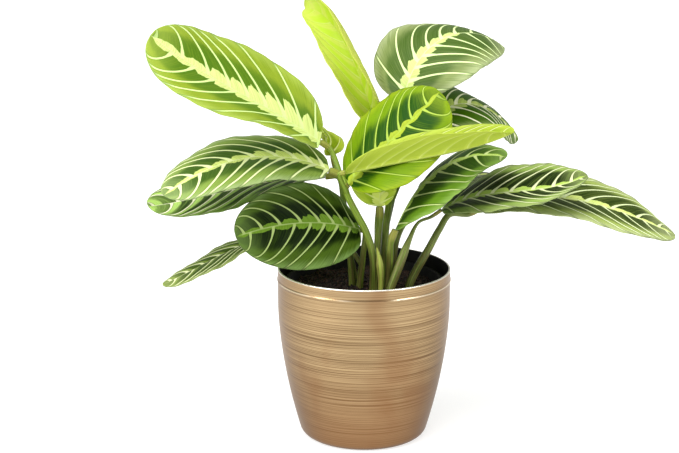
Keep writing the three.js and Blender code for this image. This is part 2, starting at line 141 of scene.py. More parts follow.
# The stage, in metres and degrees. The camera's sensor and the floor's reach are in millimetres.
WHITE = (1, 1, 1, 1)
FLOOR_REACH = 12 / MM
LIGHT_AIM = Vector((0, 0, 0.17))
CAMERA_AIM = Vector((-0.017, 0, 0.1488))
CAMERA_DISTANCE = 1.107
CAMERA_PITCH = 13.8
SENSOR_WIDTH = 36
SUN_SPREAD = 50
FLOOR_GLOW = 0.65

# name: look, base, length, half widths, heading, rise, roll, fold left and right, curl left and right.
LEAVES = {
    "leaf_top_left": ("bright", (-30, -15, 211), 136, (37, 37), (-162, -163, -170), (38, 31, 41),
        (-41, -34, -53), ((25, 1), (28, 7)), ((11, -14), (8, -17))),
    "leaf_mid_left": ("dark", (-24, -21, 193), 121, (32, 32), (-177, -156, -150), (27, -5, -31),
        (-22, -17, -15), ((9, 6), (10, 0)), ((-15, -17), (-10, -26))),
    "leaf_low_left": ("shaded", (-27, 0, 184), 124, (32, 34), (-183, -163, -153), (-1, -9, -1),
        (-2, -13, -16), ((18, 7), (9, 5)), ((-6, -8), (-10, -17))),
    "leaf_front_left": ("deep", (-3, -17, 151), 95, (31, 26), (-145, -151, -159), (21, 4, -16),
        (-41, -66, -71), ((10, 6), (11, 13)), ((-14, -9), (-6, -13))),
    "leaf_rolled_left": ("plain", (-44, -5, 146), 102, (23, 22), (-185, -164, -165), (-1, -22, -21),
        (4, -1, -5), ((12, 8), (7, -1)), ((-14, -9), (-12, -23))),
    "leaf_young_upright": ("pale", (15, 22, 204), 126, (18, 22), (198, 145, 124), (62, 60, -11),
        (-87, -92, -68), ((12, 6), (13, 3)), ((104, 71), (100, 68))),
    "leaf_top_right": ("silver", (27, 4, 236), 106, (40, 40), (34, 31, 14), (83, 21, -41),
        (28, 18, 12), ((4, -7), (6, -7)), ((-8, -23), (-12, -23))),
    "leaf_front_oval": ("fresh", (-11, -25, 184), 87, (31, 35), (0, 4, 9), (51, 44, 46),
        (35, 45, 47), ((5, -1), (8, 2)), ((-11, -22), (-5, -23))),
    "leaf_young_front": ("young", (-13, -34, 194), 120, (16, 17), (-12, -14, -47), (15, 14, 28),
        (4, 6, 11), ((55, 63), (73, 64)), ((-7, 1), (-6, -17))),
    "leaf_back_right": ("back", (45, 10, 218), 84, (29, 30), (23, 24, 10), (59, -18, -54),
        (24, 15, 22), ((10, -1), (7, 0)), ((-15, -15), (-19, -24))),
    "leaf_folded_right": ("folded", (21, -21, 152), 98, (33, 40), (5, 1, -22), (70, 37, -13),
        (-14, 14, 13), ((-21, -5), (-7, -1)), ((-28, -9), (-5, 7))),
    "leaf_upper_right": ("upper", (53, -6, 162), 103, (33, 30), (-12, -14, 1), (36, 8, 29),
        (5, 16, 9), ((8, 15), (7, 10)), ((-16, -10), (-17, 6))),
    "leaf_long_right": ("long", (80, 6, 160), 140, (33, 32), (-5, -10, 4), (26, -9, -27),
        (17, 14, 11), ((16, 5), (18, 3)), ((-10, -13), (-10, -17))),
    "leaf_young_left": ("young", (-22, 4, 198), 37, (10, 17), (138, 192, 156), (72, 49, 40),
        (-36, -4, -24), ((25, 18), (15, 11)), ((-12, -16), (-5, -13))),
    "leaf_centre": ("lime", (10.3, -13, 166), 48, (20, 12), (90, 90, 90), (80, 88, 96),
        (0, 0, 0), ((10, 5), (10, 5)), ((-10, -15), (-10, -15))),
    "leaf_back_high": ("fresh", (22, 14, 179), 112, (31, 31), (85, 92, 100), (30, 8, -26),
        (0, 0, 0), ((12, 4), (12, 4)), ((-14, -16), (-14, -16))),
    "leaf_back_left": ("dark", (-24, 12, 159), 116, (32, 32), (150, 147, 140), (22, 0, -28),
        (5, 5, 5), ((12, 4), (12, 4)), ((-14, -16), (-14, -16))),
    "leaf_back_low": ("dark", (-22, 22, 142), 104, (30, 30), (128, 122, 116), (8, -6, -34),
        (0, 0, 0), ((10, 4), (10, 4)), ((-12, -18), (-12, -18))),
    "leaf_far_right": ("long", (46, 24, 166), 114, (30, 30), (48, 42, 36), (14, -4, -28),
        (-4, -4, -4), ((10, 4), (10, 4)), ((-14, -16), (-14, -16))),
}

# name: foot, then stalks of (evenly spaced radii from foot to end, path, leaf, length of the swollen joint).
# A stalk after the first one also says where it leaves the shoot.
SHOOTS = {
    "shoot_left": ((6, -21), [
        ((2.8, 2.5, 2), [(5.6, -24, 134), (1, -26, 151), (-5.3, -28, 164), (-11.8, -27, 177)],
         "leaf_mid_left", 9),
        ((1.8, 1.7), [], "leaf_top_left", 9, (-13.9, -24.3, 183)),
        ((1.9, 1.6), [], "leaf_front_oval", 4, (-11, -27, 176)),
        ((1.7, 1.5), [], "leaf_young_front", 4, (-12, -27, 178)),
        ((1.6, 1.4), [(-17, -8, 187)], "leaf_young_left", 9, (-12.5, -26, 180))]),
    "shoot_low_left": ((-8, -2), [((2.7, 1.8), [(-10, -2, 135), (-14, -3, 165)], "leaf_low_left", 9)]),
    "shoot_front_left": ((-3, -9), [
        ((2.7, 1.8), [(-1, -11, 130)], "leaf_front_left", 4),
        ((1.7, 1.5), [(-14, -6, 140)], "leaf_rolled_left", 9, (-1.6, -10.4, 124))]),
    "shoot_centre": ((8.3, -14), [
        ((2.7, 2.3), [(9, -14, 140)], "leaf_centre", 9),
        ((2, 1.8), [(9.5, -3, 158), (16.5, 12, 183)], "leaf_young_upright", 9, (8.9, -14, 135))]),
    "shoot_tall": ((13.5, -6), [
        ((2.9, 2.4, 1.9), [(15, -5, 150), (21, 0, 190)], "leaf_top_right", 9),
        ((1.9, 1.7), [(29, 4, 190)], "leaf_back_right", 9, (16.5, -3.7, 162)),
        ((1.9, 1.7), [], "leaf_back_high", 9, (14.9, -5, 148))]),
    "shoot_right": ((16.5, -16.5), [((3, 2.8, 2), [(17.3, -17.8, 125)], "leaf_folded_right", 9)]),
    "shoot_sheathed": ((17.2, -24), [
        ((3.1, 3.1, 3.1, 3.1, 2.9, 1.7, 1.1, 1.1, 1.1),
         [(20.9, -23, 120), (24.6, -21, 129), (30.4, -17, 143.5), (36.5, -13, 154.5)],
         "leaf_upper_right", 9)]),
    "shoot_far_right": ((31.3, -9), [
        ((3, 2.9, 2.3, 1.8), [(35.2, -7, 118), (44, -5, 133.3), (51.8, -3, 147.6), (58.8, 0, 157.3)],
         "leaf_long_right", 9)]),
    "shoot_back_left": ((-7, 13), [
        ((2.8, 1.8), [(-12, 13, 135)], "leaf_back_left", 9),
        ((1.8, 1.6), [], "leaf_back_low", 9, (-10, 13, 125))]),
    "shoot_back_right": ((20, 10), [((2.8, 1.8), [(24, 11, 140)], "leaf_far_right", 9)]),
    "young_shoot": ((10.8, -28), [
        ((1.8, 1.8, 1.8, 1.8, 1.8, 2.2, 2.6, 1.5, 0.4),
         [(10.8, -28, 120), (10.4, -28, 127), (9.7, -28, 134), (8.2, -28, 141)], None, 0)]),
}
JOINT_LENGTH = 9
JOINT_SWELL = 0.25

# Colours of a blade: dark blotches, light ground, margin, side veins, midrib band and underside. Then the
# band's half width in millimetres, how far along it runs, the veins' half width in millimetres, how far out
# the blotches reach, how much of the space between two veins they fill, and the gloss.
LOOK_COLOURS = ("Dark", "Light", "Margin", "Vein", "Band", "Under")
LOOK_MEASURES = ("Band Width", "Band End", "Vein Width", "Blotch Reach", "Blotch Fill")
# The looks dark, shaded, back, deep, folded, upper and long were split from one colouring of the grown leaves
# and made lighter or darker to suit how each leaf is lit: painted light and painted shade.
LOOKS = {
    "bright": ("#52790f #90a62a #a9be50 #e2faa2 #e6f498 #b7cc78", 8, 1, 1, 0.6, 1.1, 0.2),
    "fresh": ("#1e4c03 #779a0a #92a81c #b2cc50 #b2c438 #66783c", 3.4, 1, 0.62, 0.6, 0.95, 0.12),
    "dark": ("#3c5e15 #88a248 #a2b67a #f8ffc0 #e6f48c #8aa066", 4.6, 1, 1.05, 0.6, 1.1, 0.12),
    # The shaded look's light ground is lifted to make up for the shade its leaf lies in: painted light.
    "shaded": ("#0a2a02 #c4e87a #6c8840 #fffdd8 #e4f29e #8aa066", 0, 1, 0.85, 0.95, 0.6, 0.05),
    "back": ("#426a03 #446716 #8a9c58 #ffffd8 #c8dc70 #7c9060", 5, 1, 0.9, 0.7, 1.1, 0.08),
    "deep": ("#0a1802 #405814 #6e8a48 #9cb068 #668828 #7c9060", 4.4, 1, 0.68, 0.6, 1.1, 0.05),
    "folded": ("#2a4808 #648c20 #88a850 #c8d98c #b4d060 #5c7040", 4, 1, 0.8, 0.6, 1.1, 0.08),
    "upper": ("#0c1b02 #9cba58 #a0b06c #e8f0b8 #b4d060 #7c9060", 4, 1, 0.85, 0.7, 1.1, 0.05),
    "long": ("#273907 #a0b25a #b8c28c #e4f0b8 #dcea88 #9aa874", 4, 1, 0.85, 0.66, 1.1, 0.08),
    "silver": ("#425f19 #889758 #b0bc88 #e4f6b0 #d8ec8c #a9ba88", 4, 0.66, 0.9, 0.7, 1.1, 0.15),
    "plain": ("#3c560c #92a848 #aab870 #fbffc8 #d8e68c #9aab70", 0, 1, 0.8, 0.95, 0.7, 0.1),
    "young": ("#7f990f #adbf34 #bacb50 #d6de88 #b8ca40 #b0c044", 0.8, 1, 0.5, 0.7, 0.8, 0.12),
    "pale": ("#b4d22c #c4d056 #c2cc60 #c4d462 #c4d056 #bcc654", 0, 1, 0.4, 0.7, 0.6, 0.12),
    "lime": ("#8ab016 #c4dc40 #d0e464 #e8f48c #e4f078 #c8e060", 4, 1, 0.5, 0.6, 0.8, 0.12),
}


def paint(code, alpha=1.0):
    """A screen colour such as #3a5f20 as the linear colour that a shader takes."""
    shares = [int(code[at:at + 2], 16) / 255 for at in (1, 3, 5)]
    linear = [(s / 12.92) if s <= 0.04045 else ((s + 0.055) / 1.055) ** 2.4 for s in shares]
    return (*linear, alpha)


def amount(name, description, default, least=0, **more):
    """A number that a user may change."""
    return bpy.props.FloatProperty(name=name, description=description, default=default, min=least, **more)


def size(name, description, default, least=0):
    """A length that a user may change, kept in metres."""
    return amount(name, description, default, least, unit="LENGTH", subtype="DISTANCE", precision=5)


def tint(name, description, code):
    """A colour that a user may change."""
    return bpy.props.FloatVectorProperty(
        name=name, description=description, default=paint(code), subtype="COLOR", size=4, min=0, max=1)


class PotSettings(bpy.types.PropertyGroup):
    """What a user may change on the two pots."""
    bead_depth: size("Bead depth", "How far the raised line under the rim stands out", BEAD_DEPTH * MM)
    gold: tint("Gold", "Colour of most of the brushed lacquer", "#957d5b")
    # The light gold serves the lightest brush marks and the painted light on the upper part of the pot.
    gold_light_marks_and_top_light: tint("Light gold", "Colour of the lightest brush marks", "#b59b74")
    gold_dark: tint("Dark gold", "Colour of the darkest brush marks", "#5c432b")
    # The copper serves the random coppery patches and the painted shade towards the foot.
    copper_and_foot_shade: tint("Copper", "Colour of the lacquer near the foot", "#7f5839")
    inside: tint("Inside", "Colour of the inside of the cover pot", "#0d0c0c")
    plastic: tint("Plastic", "Colour of the nursery pot", "#0a0a0a")


class LeafSettings(bpy.types.PropertyGroup):
    """What a user may change on the leaf blades."""
    thickness: size("Thickness", "Thickness of a blade", 0.0005, 0.0002)
    quilting: size("Quilting", "How far a blade rises between its side veins", 0.0004)
    wave: size("Margin wave", "How far a blade's margin waves up and down", 0.0008)
    rib: size("Midrib", "How far the midrib stands out under a blade", 0.001)


class StalkSettings(bpy.types.PropertyGroup):
    """What a user may change on the stalks."""
    sides: bpy.props.IntProperty(name="Sides", description="Faces round a stalk", default=20, min=8)
    green: tint("Green", "Colour of a stalk", "#6a8220")
    # Lower green is painted shade on the lower part of a stalk.
    shaded: tint("Lower green", "Colour of a stalk near the soil", "#56631f")
    joint: tint("Joint", "Colour of the swollen joint under a leaf", "#988c40")
    sheath: tint("Sheath", "Colour of a sheathed stalk", "#5f6d2e")


class SoilSettings(bpy.types.PropertyGroup):
    """What a user may change on the soil."""
    crumbs: amount("Crumbs", "Crumbs on each square metre of soil", 170000)
    smallest: size("Smallest crumb", "Half the least thickness of a crumb", 0.0005)
    largest: size("Largest crumb", "Half the greatest length of a crumb", 0.0019)
    seed: bpy.props.IntProperty(name="Seed", description="Changes where the crumbs lie", default=7)
    peat: tint("Peat", "Colour of the peat", "#40261a")


class StageSettings(bpy.types.PropertyGroup):
    """What a user may change on the floor, the light and the camera."""
    floor: tint("Floor", "Colour of the floor", "#bcbcbc")
    sky: amount("Sky", "Strength of the even light", 0.55)
    sun: amount("Sun", "Strength of the soft sun", 3.4)
    side: amount("Side lights", "Power of each large side light", 14, unit="POWER")
    lens: amount("Lens", "Focal length in millimetres", 85, 1, unit="CAMERA")


class Wiring:
    """Adds nodes to a tree. Each value given is a socket, which is linked, or a plain value, which is set."""

    def __init__(self, tree):
        self.tree = tree

    def put(self, socket, value):
        if isinstance(value, bpy.types.NodeSocket):
            self.tree.links.new(value, socket)
        elif value is not None:
            socket.default_value = value

    def node(self, kind, settings=None, **values):
        node = self.tree.nodes.new(kind)
        for name, value in (settings or {}).items():
            setattr(node, name, value)
        for name, value in values.items():
            self.put(node.inputs[name.replace("_", " ")], value)
        return node

    def out(self, kind, settings=None, **values):
        """The first output of a new node."""
        return self.node(kind, settings, **values).outputs[0]

    def filled(self, kind, settings, values, inputs=(0, 1, 2)):
        """A new node whose inputs, told by their numbers, take the values in order."""
        node = self.node(kind, settings)
        for at, value in zip(inputs, values):
            self.put(node.inputs[at], value)
        return node

    def math(self, operation, *values):
        return self.filled("ShaderNodeMath", {"operation": operation}, values).outputs[0]

    def add(self, *values):
        return reduce(lambda total, value: self.math("ADD", total, value), values)

    def times(self, *values):
        return reduce(lambda product, value: self.math("MULTIPLY", product, value), values)

    def less(self, first, second):
        return self.math("SUBTRACT", first, second)

    def ease(self, value, low, high, start=0.0, end=1.0):
        """start where value is under low, end where it is over high, and smooth between."""
        return self.out("ShaderNodeMapRange", {"interpolation_type": "SMOOTHSTEP"}, Value=value,
                        From_Min=low, From_Max=high, To_Min=start, To_Max=end)

    def fade(self, value, low, high, end=0.0):
        return self.ease(value, low, high, 1.0, end)

    def blend(self, share, first, second):
        kind = {"data_type": "RGBA"}
        return self.filled("ShaderNodeMix", kind, (share, first, second), (0, 6, 7)).outputs[2]

    def washed(self, colour, *layers):
        """Lays other colours over a first one. Each is (colour, value, low, high, most), and covers up to
        most of what lies under it as the value goes from low to high."""
        for other, value, low, high, most in layers:
            colour = self.blend(self.ease(value, low, high, 0.0, most), colour, other)
        return colour

    def vector(self, *values):
        return self.filled("ShaderNodeCombineXYZ", None, values).outputs[0]

    def parts(self, vector):
        return self.node("ShaderNodeSeparateXYZ", Vector=vector).outputs

    def noise(self, vector, scale=1.0, detail=2.0, roughness=0.5):
        return self.out("ShaderNodeTexNoise", Vector=vector, Scale=scale, Detail=detail, Roughness=roughness)

    def attribute(self, name, output="Fac"):
        return self.node("ShaderNodeAttribute", {"attribute_name": name}).outputs[output]

    def position(self):
        return self.node("ShaderNodeTexCoord").outputs["Object"]

    def turned_away(self, evenness):
        """From 0 where the surface faces the viewer to 1 at its outline."""
        return self.node("ShaderNodeLayerWeight", Blend=evenness).outputs["Facing"]


def new_group(name, inputs, outputs, kind="ShaderNodeTree"):
    """An empty node group with its named sockets. Returns the tree, its wiring and its input sockets."""
    tree = bpy.data.node_groups.new(name, kind)
    for label, sort, *value in inputs:
        socket = tree.interface.new_socket(label, in_out="INPUT", socket_type="NodeSocket" + sort)
        if value:
            socket.default_value = value[0]
    for label, sort in outputs:
        tree.interface.new_socket(label, in_out="OUTPUT", socket_type="NodeSocket" + sort)
    entry = tree.nodes.new("NodeGroupInput")
    return tree, Wiring(tree), {socket.name: socket for socket in entry.outputs if socket.name}


def close_group(tree, **results):
    """Links what a group puts out, and returns the group."""
    leave = tree.nodes.new("NodeGroupOutput")
    for name, socket in results.items():
        tree.links.new(socket, leave.inputs[name.replace("_", " ")])
    return tree


def main_node(material, kind):
    return next(node for node in material.node_tree.nodes if node.type == kind)


def new_material(name, roughness=0.5, **values):
    """A material with its wiring and its main shader, whose even values are set on its own sockets."""
    material = bpy.data.materials.new(name)
    material.use_nodes = True
    shader = main_node(material, "BSDF_PRINCIPLED")
    shader.inputs["Roughness"].default_value = roughness
    for label, value in values.items():
        shader.inputs[label.replace("_", " ")].default_value = value
    return material, Wiring(material.node_tree), shader


def dress(w, shader, colour, height, strength, distance, roughness=None):
    """Gives a main shader its colour, its relief and, where that is uneven, its roughness."""
    relief = w.out("ShaderNodeBump", Height=height, Strength=strength, Distance=distance)
    for label, value in (("Base Color", colour), ("Roughness", roughness), ("Normal", relief)):
        w.put(shader.inputs[label], value)


def blade_pattern():
    """Colours and relief of a prayer plant's blade. The mesh brings a blade map, which holds the number of
    side veins passed on the way to the tip, the distance from the midrib in millimetres and the share of the
    way out to the margin. It also brings the share of the way to the tip, the millimetres from one vein to
    the next, and the side: 0 on top and 1 underneath."""
    tree, w, given = new_group("Prayer plant blade", [
        ("Blade", "Vector"), ("Along", "Float"), ("Gap", "Float"), ("Underside", "Float"), ("Seed", "Float"),
        *((label, "Color") for label in LOOK_COLOURS), *((label, "Float") for label in LOOK_MEASURES),
    ], [("Color", "Color"), ("Glow", "Color"), ("Roughness", "Float"), ("Height", "Float")])
    veins, rib, reach = w.parts(given["Blade"])
    tipward = given["Along"]
    dark, light, margin, vein, band_colour, under = (given[label] for label in LOOK_COLOURS)
    band_width, band_end, vein_width, blotch_reach, blotch_fill = (given[label] for label in LOOK_MEASURES)

    def drawn(marks, outwards, detail):
        """Noise about 0, with so many marks from vein to vein and so many on the way out to the margin."""
        at = w.vector(w.times(veins, marks), w.times(reach, outwards), given["Seed"])
        return w.less(w.noise(at, 1.0, detail), 0.5)

    grain, fibres = drawn(9.0, 2.2, 3.0), drawn(24.0, 1.5, 2.0)
    teeth, cloud = drawn(4.0, 4.0, 1.0), drawn(0.8, 1.6, 2.0)
    place = w.math("FRACT", veins)
    from_vein = w.times(w.math("MINIMUM", place, w.less(1.0, place)), given["Gap"])

    swell = w.times(w.ease(tipward, 0.0, 0.12, 0.75, 1.1), w.fade(tipward, 0.15, 1.0, BAND_AT_TIP),
                    w.fade(tipward, w.less(band_end, 0.06), band_end))
    lobe = w.math("SINE", w.times(w.math("POWER", place, LOBE_LEAN), math.pi))
    edge = w.times(band_width, swell,
                   w.add(BAND_CORE, w.times(lobe, BAND_LOBES), w.times(teeth, BAND_TEETH)))
    band = w.fade(rib, w.less(edge, 0.2), w.add(edge, 0.2))

    flare = w.fade(rib, edge, w.add(edge, FLARE_LENGTH))
    width = w.times(vein_width, w.add(1.0, w.times(flare, VEIN_FLARE), w.times(reach, -VEIN_TAPER)),
                    w.add(1.0, w.times(grain, 0.5)))
    line = w.times(w.fade(from_vein, w.times(width, 0.6), w.add(w.times(width, 0.9), 0.12)),
                   w.fade(reach, 0.86, 1.0, 0.2), w.fade(tipward, 0.93, 1.0, 0.4))
    # Painted shade in the furrow beside each vein.
    furrow_shade = w.fade(from_vein, width, w.add(width, FURROW_SHADE_WIDTH))

    across = w.add(blotch_fill, w.times(grain, 0.4))
    out_to = w.add(blotch_reach, w.times(cloud, 0.5), w.times(fibres, 0.45))
    blotch = w.times(w.fade(place, w.less(across, 0.12), w.add(across, 0.1)),
                     w.fade(reach, w.less(out_to, 0.16), w.add(out_to, 0.08)), w.fade(tipward, 0.8, 1.0, 0.7))

    body = w.washed(w.blend(blotch, light, dark),
                    (light, fibres, -0.05, 0.2, 0.3), (dark, fibres, 0.0, -0.2, 0.45))
    at_margin = w.ease(w.add(reach, w.times(fibres, 0.2)), 0.75, 1.02, 0.0, 0.85)
    at_tip = w.ease(tipward, 0.78, 1.0, 0.0, 0.45)
    body = w.blend(w.math("MAXIMUM", at_margin, at_tip), body, margin)
    # Dark colour laid along each vein as painted shade in its furrow.
    body = w.blend(w.times(furrow_shade, 0.75), body, dark)
    body = w.blend(band, body, w.washed(band_colour, (light, fibres, -0.1, 0.2, 0.45)))
    midrib = w.times(w.fade(rib, 0.3, 0.6), w.ease(tipward, 0.9, 1.0, 0.6, 0.0),
                     w.ease(band_width, 0.0, 1.0, 0.3, 1.0))
    body = w.blend(midrib, w.blend(line, body, vein), vein)

    under = w.blend(w.times(w.math("MAXIMUM", line, band), 0.35), under, vein)
    under = w.washed(w.blend(w.times(blotch, 0.3), under, dark), (light, fibres, -0.15, 0.25, 0.2))
    colour = w.blend(given["Underside"], body, under)
    return close_group(tree, Color=colour, Glow=w.blend(0.5, colour, light),
                       Roughness=w.add(0.42, w.times(grain, 0.18), w.times(line, 0.05)),
                       Height=w.add(w.times(fibres, 0.2), w.times(line, -0.6), w.times(grain, 0.15)))


def blade_material(name, look, pattern, seed):
    """The material of one blade, from its look and a seed of its own."""
    colours, *measures, gloss = LOOKS[look]
    material, w, shader = new_material(name, Specular_IOR_Level=gloss)
    group = w.node("ShaderNodeGroup", {"node_tree": pattern}, Blade=w.attribute("blade", "Vector"),
                   Along=w.attribute("along"), Gap=w.attribute("vein_gap"),
                   Underside=w.attribute("underside"), Seed=seed)
    colours = [paint(code) for code in colours.split()]
    for label, value in zip(LOOK_COLOURS + LOOK_MEASURES, colours + measures):
        group.inputs[label].default_value = value
    given = group.outputs
    dress(w, shader, given["Color"], given["Height"], 0.5, 0.0003, given["Roughness"])
    through = w.out("ShaderNodeBsdfTranslucent", Color=given["Glow"])
    mixed = w.filled("ShaderNodeMixShader", None, (LIGHT_THROUGH, shader.outputs[0], through))
    w.put(main_node(material, "OUTPUT_MATERIAL").inputs["Surface"], mixed.outputs[0])
    return material


def along(values, u):
    """A quadratic through three values, met at the base, the middle and the tip."""
    first, middle, last = values
    return first * (1 - u) * (1 - 2 * u) + middle * 4 * u * (1 - u) + last * u * (2 * u - 1)


def between(pair, share):
    """The value at a share of the way from a pair's first to its second."""
    return pair[0] + (pair[1] - pair[0]) * share


def blade_frame(leaf, u):
    """Directions at u: ahead along the midrib, left across the blade, and up out of its top."""
    heading, rise, roll = (np.radians(along(leaf[at], u)) for at in (4, 5, 6))
    flat = np.zeros_like(heading)
    ahead = np.stack([np.cos(rise) * np.cos(heading), np.cos(rise) * np.sin(heading), np.sin(rise)], -1)
    level = np.stack([-np.sin(heading), np.cos(heading), flat], -1)
    above = np.cross(ahead, level)
    cosine, sine = np.cos(roll)[..., None], np.sin(roll)[..., None]
    return ahead, level * cosine + above * sine, above * cosine - level * sine


def blade_outline(u):
    """A blade's width at u as a share of its greatest width."""
    towards_base = np.maximum(0, 1 - u / WIDEST_AT)
    towards_tip = np.maximum(0, (u - WIDEST_AT) / (1 - WIDEST_AT))
    return np.sqrt(1 - towards_base ** 2) * np.maximum(0, 1 - towards_tip ** 2) ** TIP_BLUNTNESS


def vein_starts(u, reach):
    """How far along the midrib each vein leaves it, for points u along and reach out on its way."""
    leave = np.linspace(0, 1, MIDRIB_STEPS + 1)
    forward = (VEIN_REACH + VEIN_REACH_MORE_AT_TIP * leave) * (1 - leave) * (1 - (1 - leave) ** VEIN_FAN)
    starts = np.empty_like(u)
    for column in range(u.shape[1]):
        starts[:, column] = np.interp(u[:, column], leave + forward * reach[0, column] ** VEIN_CURVE, leave)
    return starts


def vein_gap(point, veins):
    """The distance in millimetres from one vein to the next at every point of the layer."""
    down, over = (np.gradient(point, axis=axis) for axis in (0, 1))
    down_share, over_share = (np.gradient(veins, axis=axis) for axis in (0, 1))
    lengths = [(a * b).sum(-1) for a, b in ((down, down), (over, over), (down, over))]
    area = np.maximum(lengths[0] * lengths[1] - lengths[2] ** 2, 1e-6)
    steepness = (lengths[1] * down_share ** 2 + lengths[0] * over_share ** 2
                 - 2 * lengths[2] * down_share * over_share) / area
    return np.clip(1 / np.sqrt(np.maximum(steepness, 1e-6)), 0.5, 30)


def blade_layers(leaf, settings):
    """The blade's middle layer in millimetres, its normals and the maps that its material reads."""
    _, base, length, half, _, _, _, folds, curls = leaf
    row = np.linspace(0, 1, BLADE_ROWS + 1)[:, None]
    spread = np.linspace(-1, 1, BLADE_COLUMNS + 1)[None, :]
    across = np.sign(spread) * np.abs(spread) ** COLUMN_CROWDING + 0 * row
    row = row + 0 * across
    reach = np.abs(across)
    side = np.where(across < 0, -1, 1)
    u = np.clip(row + VEIN_SWEEP * reach ** VEIN_BEND * (1 - row) * (1 - (1 - row) ** 4), 0, 1)

    middles = (np.arange(MIDRIB_STEPS) + 0.5) / MIDRIB_STEPS
    steps = np.cumsum(blade_frame(leaf, middles)[0] * length / MIDRIB_STEPS, 0)
    midrib = np.array(base, float) + np.vstack([np.zeros(3), steps])
    stops = np.linspace(0, 1, MIDRIB_STEPS + 1)
    point = np.stack([np.interp(u, stops, midrib[:, axis]) for axis in range(3)], -1)

    outline = blade_outline(u)
    left_side = side > 0

    def of_side(pairs):
        return np.where(left_side, between(pairs[0], u), between(pairs[1], u))

    width = np.where(left_side, half[0], half[1]) * outline + between((BASE_HALF_WIDTH, TIP_HALF_WIDTH), u)
    fold = np.radians(of_side(folds)) * np.sqrt(outline)
    curl = np.radians(of_side(curls))
    curl = np.where(np.abs(curl) < 1e-4, 1e-4, curl)
    slope = fold + curl * reach
    _, left, up = blade_frame(leaf, u)
    sideways = side * width * (np.sin(slope) - np.sin(fold)) / curl
    upward = width * (np.cos(fold) - np.cos(slope)) / curl
    point += left * sideways[..., None] + up * upward[..., None]
    tilt = np.where(reach > 0, slope, 0)
    normal = up * np.cos(tilt)[..., None] - left * (side * np.sin(tilt))[..., None]

    start = vein_starts(u, reach)
    veins = round(FEWEST_VEINS + length / LENGTH_FOR_ANOTHER_VEIN) * start ** VEIN_CROWDING
    veins += FIRST_VEIN + VEIN_UNEVENNESS * np.sin(9 * start + 2.1 * side + length)
    gap = vein_gap(point, veins)
    veins = veins + 0.5 * left_side
    wave = settings.wave / MM * reach ** 2 * np.sin(WAVE_TURNS * u + side) * (1 - u) * u * 4
    flutter = FLUTTER * reach ** 4 * np.sin(FLUTTER_TURNS * u + 3 * side + length) * np.sqrt(outline)
    quilt = settings.quilting / MM * np.abs(np.sin(math.pi * veins)) ** 0.7 * outline
    quilt = quilt * (1 - (1 - reach) ** 4) * (1 - reach ** 5)
    groove = GROOVE_DEPTH * np.exp(-((reach * width / GROOVE_WIDTH) ** 2)) * outline
    point += normal * (wave + flutter + quilt - groove)[..., None]
    return point, normal, veins, reach * width, reach, gap, u


def new_mesh(name, points, faces, edges=()):
    """A mesh from points in millimetres."""
    mesh = bpy.data.meshes.new(name)
    mesh.from_pydata((np.array(points, float) * MM).tolist(), edges, faces)
    return mesh


def keep_map(mesh, label, values):
    """Stores a value, or a vector, for each point of a mesh."""
    values = np.array(values, np.float32)
    kind, key = ("FLOAT", "value") if values.ndim == 1 else ("FLOAT_VECTOR", "vector")
    mesh.attributes.new(label, kind, "POINT").data.foreach_set(key, values.ravel())


def faces_between(grid):
    """Four-sided faces between the neighbours in a grid of point numbers."""
    return np.stack([grid[:-1, :-1], grid[1:, :-1], grid[1:, 1:], grid[:-1, 1:]], -1).reshape(-1, 4)


def blade_mesh(name, leaf, settings):
    """One closed blade: a top layer, an under layer with its midrib, and the edge between them."""
    point, normal, veins, from_rib, reach, gap, u = blade_layers(leaf, settings)
    rows, columns = reach.shape
    half_thick = settings.thickness / MM / 2
    rib = settings.rib / MM * (1 - 0.8 * u) * np.clip(1 - (from_rib / MIDRIB_WIDTH) ** 2, 0, 1)
    top = point + normal * half_thick
    bottom = point - normal * (half_thick + rib)[..., None]
    grid = np.arange(rows * columns).reshape(rows, columns)
    quads = faces_between(grid)
    under = rows * columns
    ring = np.concatenate([grid[:, 0], grid[-1, 1:], grid[-2::-1, -1], grid[0, -2:0:-1]])
    following = np.roll(ring, -1)
    edge = np.stack([following, ring, ring + under, following + under], -1)
    faces = np.concatenate([quads, quads[:, ::-1] + under, edge])
    mesh = new_mesh(name, np.concatenate([top, bottom]).reshape(-1, 3), faces.tolist())
    mesh.shade_smooth()
    keep_map(mesh, "along", np.tile(u.ravel(), 2))
    keep_map(mesh, "vein_gap", np.tile(gap.ravel(), 2))
    keep_map(mesh, "underside", np.repeat([0.0, 1.0], under))
    keep_map(mesh, "blade", np.tile(np.stack([veins, from_rib, reach], -1).reshape(-1, 3), (2, 1)))
    return mesh


def slots_of_nodes():
    """The record's material slot of every CAD node."""
    return {entry["node"]: entry["material_slot"] for entry in frame["record"]["subparts"]}


def helper(name, data):
    """A new object in the scene, at the origin."""
    piece = bpy.data.objects.new(name, data)
    bpy.context.scene.collection.objects.link(piece)
    return piece


def placed(name, mesh, replaced=()):
    """Puts a finished mesh in the scene as a piece of the plant, standing for the CAD nodes given."""
    piece = helper(name, mesh)
    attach(piece, BODY)
    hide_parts(*replaced)


def turned(profile, sides):
    """Points and faces of a profile of (radius, height) pairs, turned about the upright axis. The profile
    starts and ends on the axis and runs down the outside, so the faces point out."""
    angles = np.arange(sides) / sides * FULL_TURN
    radii, heights = np.array(profile[1:-1], float).T[..., None]
    rings = np.stack([radii * np.cos(angles), radii * np.sin(angles), heights + 0 * angles], -1)
    points = [(0, 0, profile[0][1]), *rings.reshape(-1, 3), (0, 0, profile[-1][1])]
    grid = 1 + np.arange(len(radii) * sides).reshape(-1, sides)
    grid = np.hstack([grid, grid[:, :1]])
    first, *_, last = grid.tolist()
    start = [(0, a, b) for a, b in zip(first, first[1:])]
    end = [(len(points) - 1, b, a) for a, b in zip(last, last[1:])]
    return points, start + faces_between(grid).tolist() + end


